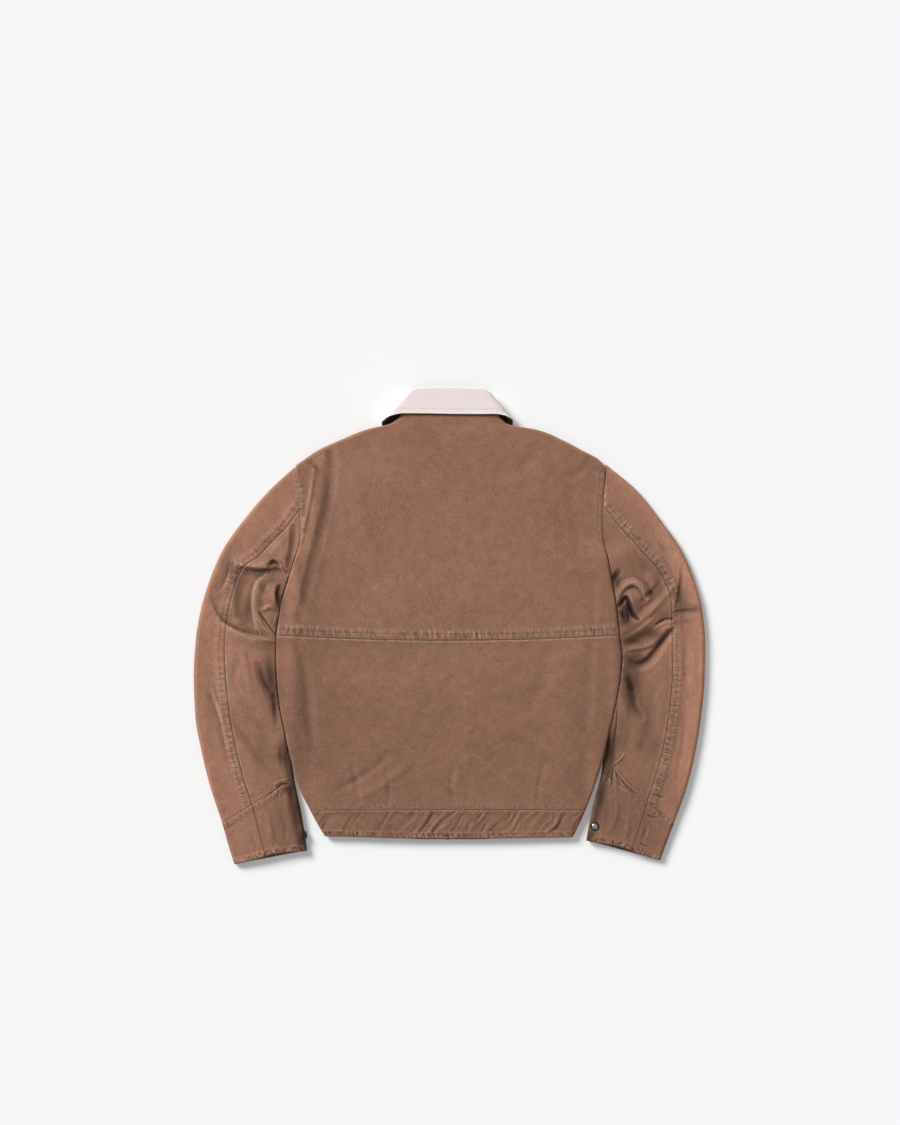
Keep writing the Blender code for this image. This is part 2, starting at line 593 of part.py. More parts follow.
def stations(start, end, inside):
    """Section heights from start to end, with the table's own rows between them."""
    rows = [y for y in inside if min(start, end) + 4 < y < max(start, end) - 4]
    return [start] + sorted(rows, reverse=True) + [end]


def make_body(collection):
    table = [row.y for row in BODY]
    half = SEAM / 2
    upper = [back_section(y) for y in stations(table[0], CROSS_SEAM_Y + half, table)]
    lower = [back_section(y) for y in stations(CROSS_SEAM_Y - half, WAIST_SEAM_Y + half, table)]
    band = [back_section(y) for y in stations(WAIST_SEAM_Y - half, BAND_BOTTOM_BACK, table)]
    make_sheet("back_upper", upper, WALL, "canvas", collection, flip=True)
    make_sheet("back_lower", lower, WALL, "canvas", collection, flip=True)
    make_sheet("waistband_back", band, BAND_WALL, "canvas", collection, flip=True)
    rows = table + [LIFT_FULL_Y, LIFT_START_Y, NECK_FRONT_Y]
    for side in SIDES:
        front = [front_section(side, y) for y in stations(FRONT_TOP, WAIST_SEAM_Y + half, rows)]
        band = [front_section(side, y)
                for y in stations(WAIST_SEAM_Y - half, BAND_BOTTOM_FRONT, table)]
        flip = side == "left"
        make_sheet(f"front_{side}", front, WALL, "canvas", collection, flip=flip)
        make_sheet(f"waistband_front_{side}", band, WALL, "canvas", collection, flip=flip)


def spaced(start, end, count, skip_first=False):
    """Evenly spaced values from start to end."""
    return [mix(start, end, k / count) for k in range(1 if skip_first else 0, count + 1)]


def sleeve_columns(seam):
    """Where the outer and the under panel's columns lie round a ring."""
    low = 3 + FRONT_SEAM
    outer = spaced(low + SEAM_TURN, 4, 2) + spaced(4, 5, 4, True) + spaced(
        5, 4 + seam - SEAM_TURN, 4, True)
    under = spaced(seam + SEAM_TURN, 2, 9) + spaced(2, 3, 4, True) + [low - SEAM_TURN]
    return outer, under


def cuff_columns(side, seam):
    """The cuff's outer piece reaches round inside the inner piece, past the open vent."""
    vent = VENT_EDGE[side]
    outer = [VENT_LAP, 2] + spaced(2, vent, 3, True) + [max(vent + 0.3, 3), 3.2] + spaced(
        3.2, 4, 2, True) + spaced(4, 5, 4, True) + spaced(5, 4 + seam - SEAM_TURN, 4, True)
    under = spaced(seam + SEAM_TURN, 2, 7) + spaced(2, vent, 4, True)
    return outer, under


def vent_inset(side, around):
    """How far the cuff's outer piece is set in, where the inner piece covers it."""
    vent = VENT_EDGE[side]
    return (WALL + SEAM) * (1 - smoothstep(vent + 0.04, max(vent + 0.3, 3), around))


def make_sleeves(collection):
    for side in SIDES:
        flip = side == "left"
        outer, under = [], []
        for t in spaced(0, CUFF_RING - RING_SEAM, RINGS - 1):
            columns = sleeve_columns(1 + ring_at(side, t).seam)
            outer.append([sleeve_point(side, t, a) for a in columns[0]])
            under.append([sleeve_point(side, t, a) for a in columns[1]])
        make_sheet(f"sleeve_upper_{side}", outer, WALL, "canvas", collection, flip=flip)
        make_sheet(f"sleeve_under_{side}", under, WALL, "canvas", collection, flip=flip)
        outer, under = [], []
        for t in spaced(CUFF_RING + RING_SEAM, LAST_RING, CUFF_STEPS):
            columns = cuff_columns(side, 1 + ring_at(side, t).seam)
            outer.append([sleeve_point(side, t, a, vent_inset(side, a)) for a in columns[0]])
            under.append([sleeve_point(side, t, a) for a in columns[1]])
        make_sheet(f"cuff_upper_{side}", outer, WALL, "canvas", collection, flip=flip)
        make_sheet(f"cuff_under_{side}", under, WALL, "canvas", collection, flip=flip)


def make_collar(collection):
    last = len(COLLAR["left"]) - 1
    steps = sorted(list(range(last + 1)) + COLLAR_BETWEEN)
    around = [("left", t) for t in reversed(steps)] + [("right", t) for t in steps[1:]]
    leaf = [leaf_section(side, t) for side, t in around]
    under = [undercollar_section(side, t) for side, t in around]
    stand = [stand_section(side, t) for side, t in around]
    make_sheet("collar_top", leaf, LEAF_WALL, "collar_cloth", collection)
    make_sheet("undercollar", under, UNDERCOLLAR_WALL, "canvas_dark", collection)
    make_sheet("collar_stand", stand, STAND_WALL, "canvas_dark", collection, flip=True)


def turned(name, profile, finish, collection, closed=False):
    """A round piece from its profile of (radius, height), from the top down to the base."""
    mesh = bpy.data.meshes.new(name)
    points = [Vector((radius * MM, 0, height * MM)) for radius, height in profile]
    edges = [(k, k + 1) for k in range(len(points) - 1)]
    if closed:
        edges.append((len(points) - 1, 0))
    mesh.from_pydata(points, edges, [])
    piece = make_object(name, mesh, finish, collection)
    screw = piece.modifiers.new("Turn", "SCREW")
    screw.steps = screw.render_steps = SNAP_STEPS
    screw.use_merge_vertices = True
    screw.merge_threshold = 0.00002
    return piece


def make_snaps(collection):
    for side, (t, around) in SNAP_PLACE.items():
        here = sleeve_point(side, t, around)
        along = sleeve_point(side, t + 0.1, around) - here
        across = sleeve_point(side, t, around + 0.02) - here
        normal = across.cross(along).normalized() * SIDES[side]
        turn = normal.to_track_quat("Z", "Y")
        ring = turned(f"snap_ring_{side}", SNAP_RING, "snap_dark", collection, closed=True)
        cap = turned(f"snap_cap_{side}", SNAP_CAP, "snap_steel", collection)
        for piece in (ring, cap):
            piece.rotation_mode = "QUATERNION"
            piece.rotation_quaternion = turn
            piece.location = (here + normal * SEAM) * MM


def combine(piece, other, operation):
    step = piece.modifiers.new(other.name, "BOOLEAN")
    step.operation = operation
    step.object = other
    other.hide_render = True
    other.display_type = "WIRE"


def join(pieces):
    """One body from several blocks that overlap."""
    for other in pieces[1:]:
        combine(pieces[0], other, "UNION")


def make_zip(collection, cutters):
    table = [row.y for row in BODY] + [LIFT_FULL_Y, LIFT_START_Y]
    for side, sign in SIDES.items():
        near, far = CENTRE_FRONT + sign * TAPE_INNER, CENTRE_FRONT + sign * TAPE_OUTER
        strip = [[Vector((x, y, lift(y) + WALL + SEAM)) for x in (near, far)]
                 for y in stations(ZIP_TOP, ZIP_BOTTOM, table)]
        make_sheet(f"zip_tape_{side}", strip, TAPE_WALL, "zip_tape", collection,
                   flip=side == "left")
    chain = [[Vector((CENTRE_FRONT + x, y, lift(y) + CHAIN_LOW)) for x in (-CHAIN_HALF, CHAIN_HALF)]
             for y in stations(SLIDER_LOW - SEAM, ZIP_BOTTOM, table)]
    make_sheet("zip_chain", chain, CHAIN_WALL, "zip_brass", collection)
    make_block("zip_box", (CENTRE_FRONT - BOX_HALF, BAND_BOTTOM_FRONT - SEAM, BOX_LOW),
               (CENTRE_FRONT + BOX_HALF, ZIP_BOTTOM - SEAM, BOX_HIGH), "zip_brass", collection)

    def zip_block(name, block, origin, group):
        low = origin + Vector((-block.half, block.start, block.low))
        high = origin + Vector((block.half, block.end, block.high))
        return make_block(name, low, high, "zip_brass", group)

    at = Vector((CENTRE_FRONT, SLIDER_LOW, lift(SLIDER_LOW)))
    pieces = [zip_block(name, block, at, collection if name == "zip_slider" else cutters)
              for name, block in SLIDER.items()]
    join(pieces)
    combine(pieces[0], zip_block("slider_window", SLIDER_WINDOW, at, cutters), "DIFFERENCE")

    hinge = Vector((CENTRE_FRONT, SLIDER_LOW + HINGE_ALONG, HINGE_UP))
    pull = zip_block("zip_pull", PULL, hinge, collection)
    for name, block in PULL_HOLES.items():
        combine(pull, zip_block(name, block, hinge, cutters), "DIFFERENCE")


def main():
    for piece in list(bpy.data.objects):
        bpy.data.objects.remove(piece)
    jacket = bpy.data.collections.new("harrington_jacket")
    cutters = bpy.data.collections.new("cutters")
    for collection in (jacket, cutters):
        bpy.context.scene.collection.children.link(collection)
    make_body(jacket)
    make_sleeves(jacket)
    make_collar(jacket)
    make_snaps(jacket)
    make_zip(jacket, cutters)


main()
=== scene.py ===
"""Canvas harrington jacket, laid face down: the cloth, stitching, zip and snaps around its solids.

Each cloth panel is a thin shell on the form of its solid, worked out from the same sizes, with
the creases, puckers and seams placed one by one. Sizes are in millimetres until a mesh is made.
"""

import json
import math
from collections import namedtuple

import bpy
import numpy as np
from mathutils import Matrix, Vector


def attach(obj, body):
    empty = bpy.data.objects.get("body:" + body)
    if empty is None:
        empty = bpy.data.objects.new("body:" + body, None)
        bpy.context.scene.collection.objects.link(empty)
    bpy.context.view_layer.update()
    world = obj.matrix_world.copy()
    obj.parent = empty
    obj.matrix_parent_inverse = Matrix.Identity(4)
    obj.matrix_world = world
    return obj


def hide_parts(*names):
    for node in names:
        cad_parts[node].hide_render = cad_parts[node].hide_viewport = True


bl_info = {
    "name": "Harrington Jacket",
    "version": (1, 0, 0),
    "blender": (4, 5, 0),
    "location": "View3D > Sidebar > Jacket",
    "description": "Dresses the solids of a canvas harrington jacket in cloth, stitching and trim",
    "category": "Object",
}

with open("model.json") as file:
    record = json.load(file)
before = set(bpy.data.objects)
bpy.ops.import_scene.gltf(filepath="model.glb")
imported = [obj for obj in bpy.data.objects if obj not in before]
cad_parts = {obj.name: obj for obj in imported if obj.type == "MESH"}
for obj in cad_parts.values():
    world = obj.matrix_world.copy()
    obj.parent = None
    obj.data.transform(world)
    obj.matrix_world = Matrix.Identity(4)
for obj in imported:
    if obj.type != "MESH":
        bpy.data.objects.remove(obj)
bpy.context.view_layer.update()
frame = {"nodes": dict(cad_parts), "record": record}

MM = 0.001
SIDES = {"left": -1, "right": 1}

# Sizes that the solids share, in millimetres.
WALL = 2.0
BAND_WALL = 2.4
LEAF_WALL = 1.9
UNDERCOLLAR_WALL = 1.1
STAND_WALL = 1.3
SEAM = 0.4
CENTRE_FRONT = -3.0
FRONT_GAP = 6.0
CROSS_SEAM_Y = -13.8
WAIST_SEAM_Y = -276.0
BAND_BOTTOM_BACK = -316.8
BAND_BOTTOM_FRONT = -320.0
NECK_FRONT_Y = 236.7
FRONT_TOP = 318.0
SHOULDER_Y = 238.2
UNDERARM_Y = 17.7
COLLAR_LIFT = 4.3
LIFT_FULL_Y, LIFT_START_Y = 190.0, 140.0
ARMHOLE_SEAM = 0.9
SLEEVE_LAP = 0.5
TUCK_CLEAR = 13.3
ARMHOLE_CLEAR = 11.1
TUCK_TAIL = 1.5
LOWEST_SEEN = 5.5  # the seen side of a sleeve never sinks below this
MOUTH_OPEN = 4.5  # how far the cuff's upper layer draws back from its mouth
BESIDE_BODY = 20.5  # where the body's fold presses on a sleeve, its cloth swells up beside it
CLEAR_SLOPE = 12.0  # how steeply a sleeve may rise past the body's side
NO_LIMIT = 99.0
FLUSH_HEIGHT = 13.3  # the sleeve's cloth comes up level with the body's along the armhole
FRONT_CORNER = 4.0
FRONT_TAIL = 13.0
SPREAD_RIM = 0.8

# The body's sections from the neck to the hem.
Body = namedtuple("Body", "y left right mid top roll spread turn bow rise")
BODY = np.array([
    (324.4, -69.2, 70, 18, 17.6, 6, 1.6, 90, 3, 1),
    (312, -77, 76, 18, 17.4, 6, 1.8, 90, 2, 1),
    (306, -84, 82, 18, 17.2, 6, 2, 90, 1, 1),
    (302.2, -90, 86, 18, 17.2, 6, 2, 90, 1, 1),
    (299.2, -103, 98, 18, 17.2, 6, 2.2, 90, 1, 1),
    (295.5, -120, 124.5, 18, 17.2, 6, 2.2, 90, 1, 1),
    (278.7, -162.9, 168.6, 17.4, 17, 6, 2.2, 90, 0, 1),
    (263.7, -195.9, 197.1, 17, 16.6, 6, 2, 90, 0, 1),
    (248.7, -218.4, 224.1, 17, 16, 6, 1.7, 90, 0, 1),
    (238.2, -231.2, 232.3, 17, 15.6, 5, 1.3, 78, 0, 1),
    (234.6, -231.6, 232.8, 17, 15, 6, 1.1, 50, 0, 0),
    (226.2, -230.4, 232.3, 17, 14.6, 7, 1, 22, 0, 0),
    (196.2, -225.5, 230.4, 17, 14.2, 8, 1, 15, 0, 0),
    (163.2, -223.7, 229.3, 17, 14.2, 8, 1, 15, 0, 0),
    (136.2, -222.6, 229.8, 17, 14.8, 7, 1, 20, 0, 0),
    (121.2, -225.2, 232.3, 17, 17.8, 5, 1, 70, 0, 0),
    (104.7, -230.4, 236.1, 17, 21.4, 3.9, 1, 165, 0, 0),
    (73.2, -240.2, 242.1, 17, 21.5, 3.8, 1, 180, 0, 0),
    (34.2, -252, 248.8, 17, 21.5, 3.8, 1, 180, -3, 0),
    (14, -255.2, 251.3, 17, 21.5, 3.8, 1, 180, -5, 0.5),
    (-13.8, -258.9, 254.1, 17, 21.5, 3.8, 1, 180, -8, 1),
    (-46.8, -259.7, 257.5, 17, 21.5, 3.8, 1, 180, -6, 1),
    (-81.3, -258.2, 254.8, 17, 21.5, 3.8, 1, 180, -3, 1),
    (-118.8, -254.4, 248.1, 17, 21.5, 3.8, 1, 180, 0, 1),
    (-148.8, -248.4, 241.3, 16.5, 21.3, 3.8, 1, 180, 0, 1),
    (-171.3, -243.9, 236.1, 16, 20.8, 3.8, 1, 175, 0, 1),
    (-193.8, -239, 231.4, 15.5, 19, 4.4, 1, 140, 0, 1),
    (-223.8, -231.2, 222.6, 15, 16, 5, 1, 100, 0, 1),
    (-246.3, -223.7, 215.1, 14, 14.5, 5, 1, 90, 0, 1),
    (-276, -209, 203.5, 13, 13, 5, 1, 90, 1, 1),
    (-316.8, -186.9, 184.3, 12.5, 12, 5, 1, 90, -1, 1),
    (-321, -184.6, 182, 12.5, 12, 5, 1, 90, -1, 1),
])

# Rings of a sleeve from the armhole to the cuff's end.
Ring = namedtuple("Ring", "out_x out_y in_x in_y bow out_z mid_z in_z seam")
SLEEVE = {
    "left": np.array([
        (-233.2, 237.2, -228.9, 17.7, 10.7, 9, 10.2, 10.2, 0.272),
        (-269.4, 203.7, -230.4, 13.2, 6, 10, 14, 10.6, 0.33),
        (-308.4, 158.7, -231.5, 8.7, 2, 11, 16.5, 11, 0.325),
        (-339.9, 113.7, -231.9, 1.9, 0, 12, 18, 11, 0.245),
        (-359.4, 68.7, -232.2, -6.3, 0, 12, 18.5, 11, 0.253),
        (-372.9, 23.7, -232.5, -16.8, 0, 12, 18.5, 11, 0.265),
        (-380.4, -21.3, -232.8, -33.3, 0, 12, 18, 11, 0.277),
        (-383.4, -73.8, -233.4, -57.3, 0, 12, 18, 11, 0.302),
        (-381.2, -133.8, -234.9, -96.3, 0, 12, 18, 11, 0.332),
        (-371.4, -189.3, -236.4, -138.3, 0, 12, 17.5, 11, 0.352),
        (-357.9, -243.3, -237.8, -186.3, 0, 12, 17, 10.6, 0.385),
        (-340.7, -295.8, -232.8, -228.3, 0, 11, 16, 10.6, 0.41),
        (-332.4, -325.8, -221.4, -283.8, 0, 10.5, 15.5, 12, 0.425),
        (-322.7, -357.3, -213.2, -336.3, 0, 10, 14.5, 12, 0.435),
    ]),
    "right": np.array([
        (234, 242, 232.8, 17.7, 5, 9, 10.2, 10.2, 0.268),
        (279.6, 203.7, 234.6, 13.2, 3, 10, 14, 10.6, 0.325),
        (315.6, 158.7, 235.8, 8.7, 1, 11, 16.5, 11, 0.312),
        (347.1, 113.7, 236.4, 1.9, 0, 12, 18, 11, 0.275),
        (366.6, 68.7, 236.8, -6.3, 0, 12, 18.5, 11, 0.265),
        (378.6, 23.7, 237.3, -16.8, 0, 12, 18.5, 11, 0.31),
        (383.1, -25.8, 237.6, -33.3, 0, 12, 18, 11, 0.326),
        (382.3, -78.3, 237.6, -57.3, 0, 12, 18, 11, 0.321),
        (377.1, -135.3, 236.1, -96.3, 0, 12, 18, 11, 0.32),
        (368.1, -190.8, 232.8, -138.3, 0, 12, 17.5, 11, 0.326),
        (354.6, -244.8, 230.6, -186.3, 0, 12, 17, 10.6, 0.355),
        (336.6, -294.3, 227.6, -219.3, 0, 11, 16, 10.6, 0.372),
        (326.1, -322.8, 212.8, -277.8, 0, 10.5, 15.5, 12, 0.375),
        (315.6, -351.3, 204.6, -321.3, 0, 10, 14.5, 12, 0.395),
    ]),
}
CUFF_RING, LAST_RING = 11.0, 13.0
FRONT_SEAM = 0.12
SEAM_TURN = 0.0009  # the cloth's edges meet closer than those of the solids
RING_SEAM = 0.0015
CLOTH_SEAM = 0.12
VENT_EDGE = {"left": 2.8, "right": 2.5}
VENT_LAP = 1.86

NECKLINE = np.array([
    (-9, 236.7), (-18.9, 248.7), (-32.4, 263.7), (-44.4, 278.7), (-56.4, 293.7),
    (-64.5, 308.7), (-66, 320),
])

# The collar from the centre back round one side to the front.
Collar = namedtuple("Collar", "fold_x fold_y edge_x edge_y neck_x neck_y turn")
COLLAR = {
    "left": np.array([
        (0, 358.2, 0, 317, 0, 328.2, 0),
        (-26, 358, -36, 317.8, -30, 327.8, 0),
        (-47, 357, -68, 318, -56, 326.6, 0),
        (-56, 353.8, -88.5, 314.2, -67, 327.6, 18),
        (-59.8, 351.2, -98.5, 309.8, -70.3, 327.5, 52),
        (-60.8, 348.6, -103, 305.6, -72.2, 326.4, 90),
        (-59.5, 345, -102, 303.2, -71.2, 325, 128),
        (-56, 338, -99, 301, -67.5, 325, 162),
        (-50, 325, -95, 286, -61.2, 314.5, 180),
        (-36, 290, -73, 241, -44, 283, 180),
        (-17, 261, -50, 215, -22, 253, 180),
        (-8, 247, -36, 206, -11.2, 240.6, 180),
    ]),
    "right": np.array([
        (0, 358.2, 0, 317, 0, 328.2, 0),
        (30, 357.6, 36, 316.8, 32, 327.8, 0),
        (48, 356, 67, 317, 57, 326.6, 0),
        (55, 353, 82, 315, 66, 327.6, 18),
        (59.5, 351, 91, 312, 69, 327.2, 52),
        (61.5, 348, 96, 308.2, 70.5, 326, 90),
        (60.5, 344.5, 95.5, 304.5, 69, 324.8, 128),
        (56, 338, 93.5, 301, 65, 325, 162),
        (46, 325, 89, 286, 55, 314.5, 180),
        (30, 290, 67, 241, 38, 283, 180),
        (11, 261, 44, 215, 16, 253, 180),
        (2, 247, 30, 206, 5.2, 240.6, 180),
    ]),
}
COLLAR_STEPS = 14  # rows of the cloth between two rows of the table
COLLAR_ROLL = 3.2
COLLAR_MID = 11.15
UNDERCOLLAR_GAP = 0.5
UNDERCOLLAR_SHOWS = 1.2
UNDERCOLLAR_START, UNDERCOLLAR_SIDE = 4.0, 6.0
UNDERCOLLAR_DEEPER = 0.6
FOLD_SEAM = 4.5
SIDE_SEAM_SUNK = 6.5
FRONT_SEAM_RISE = 3.0

TAPE_INNER, TAPE_OUTER, TAPE_WALL = 1.3, 14.0, 0.8
ZIP_TOP, ZIP_BOTTOM = 235.0, -311.5
SLIDER_LOW = 219.5
SNAP_PLACE = {"left": (12.55, 2.3), "right": (12.42, 1.975)}

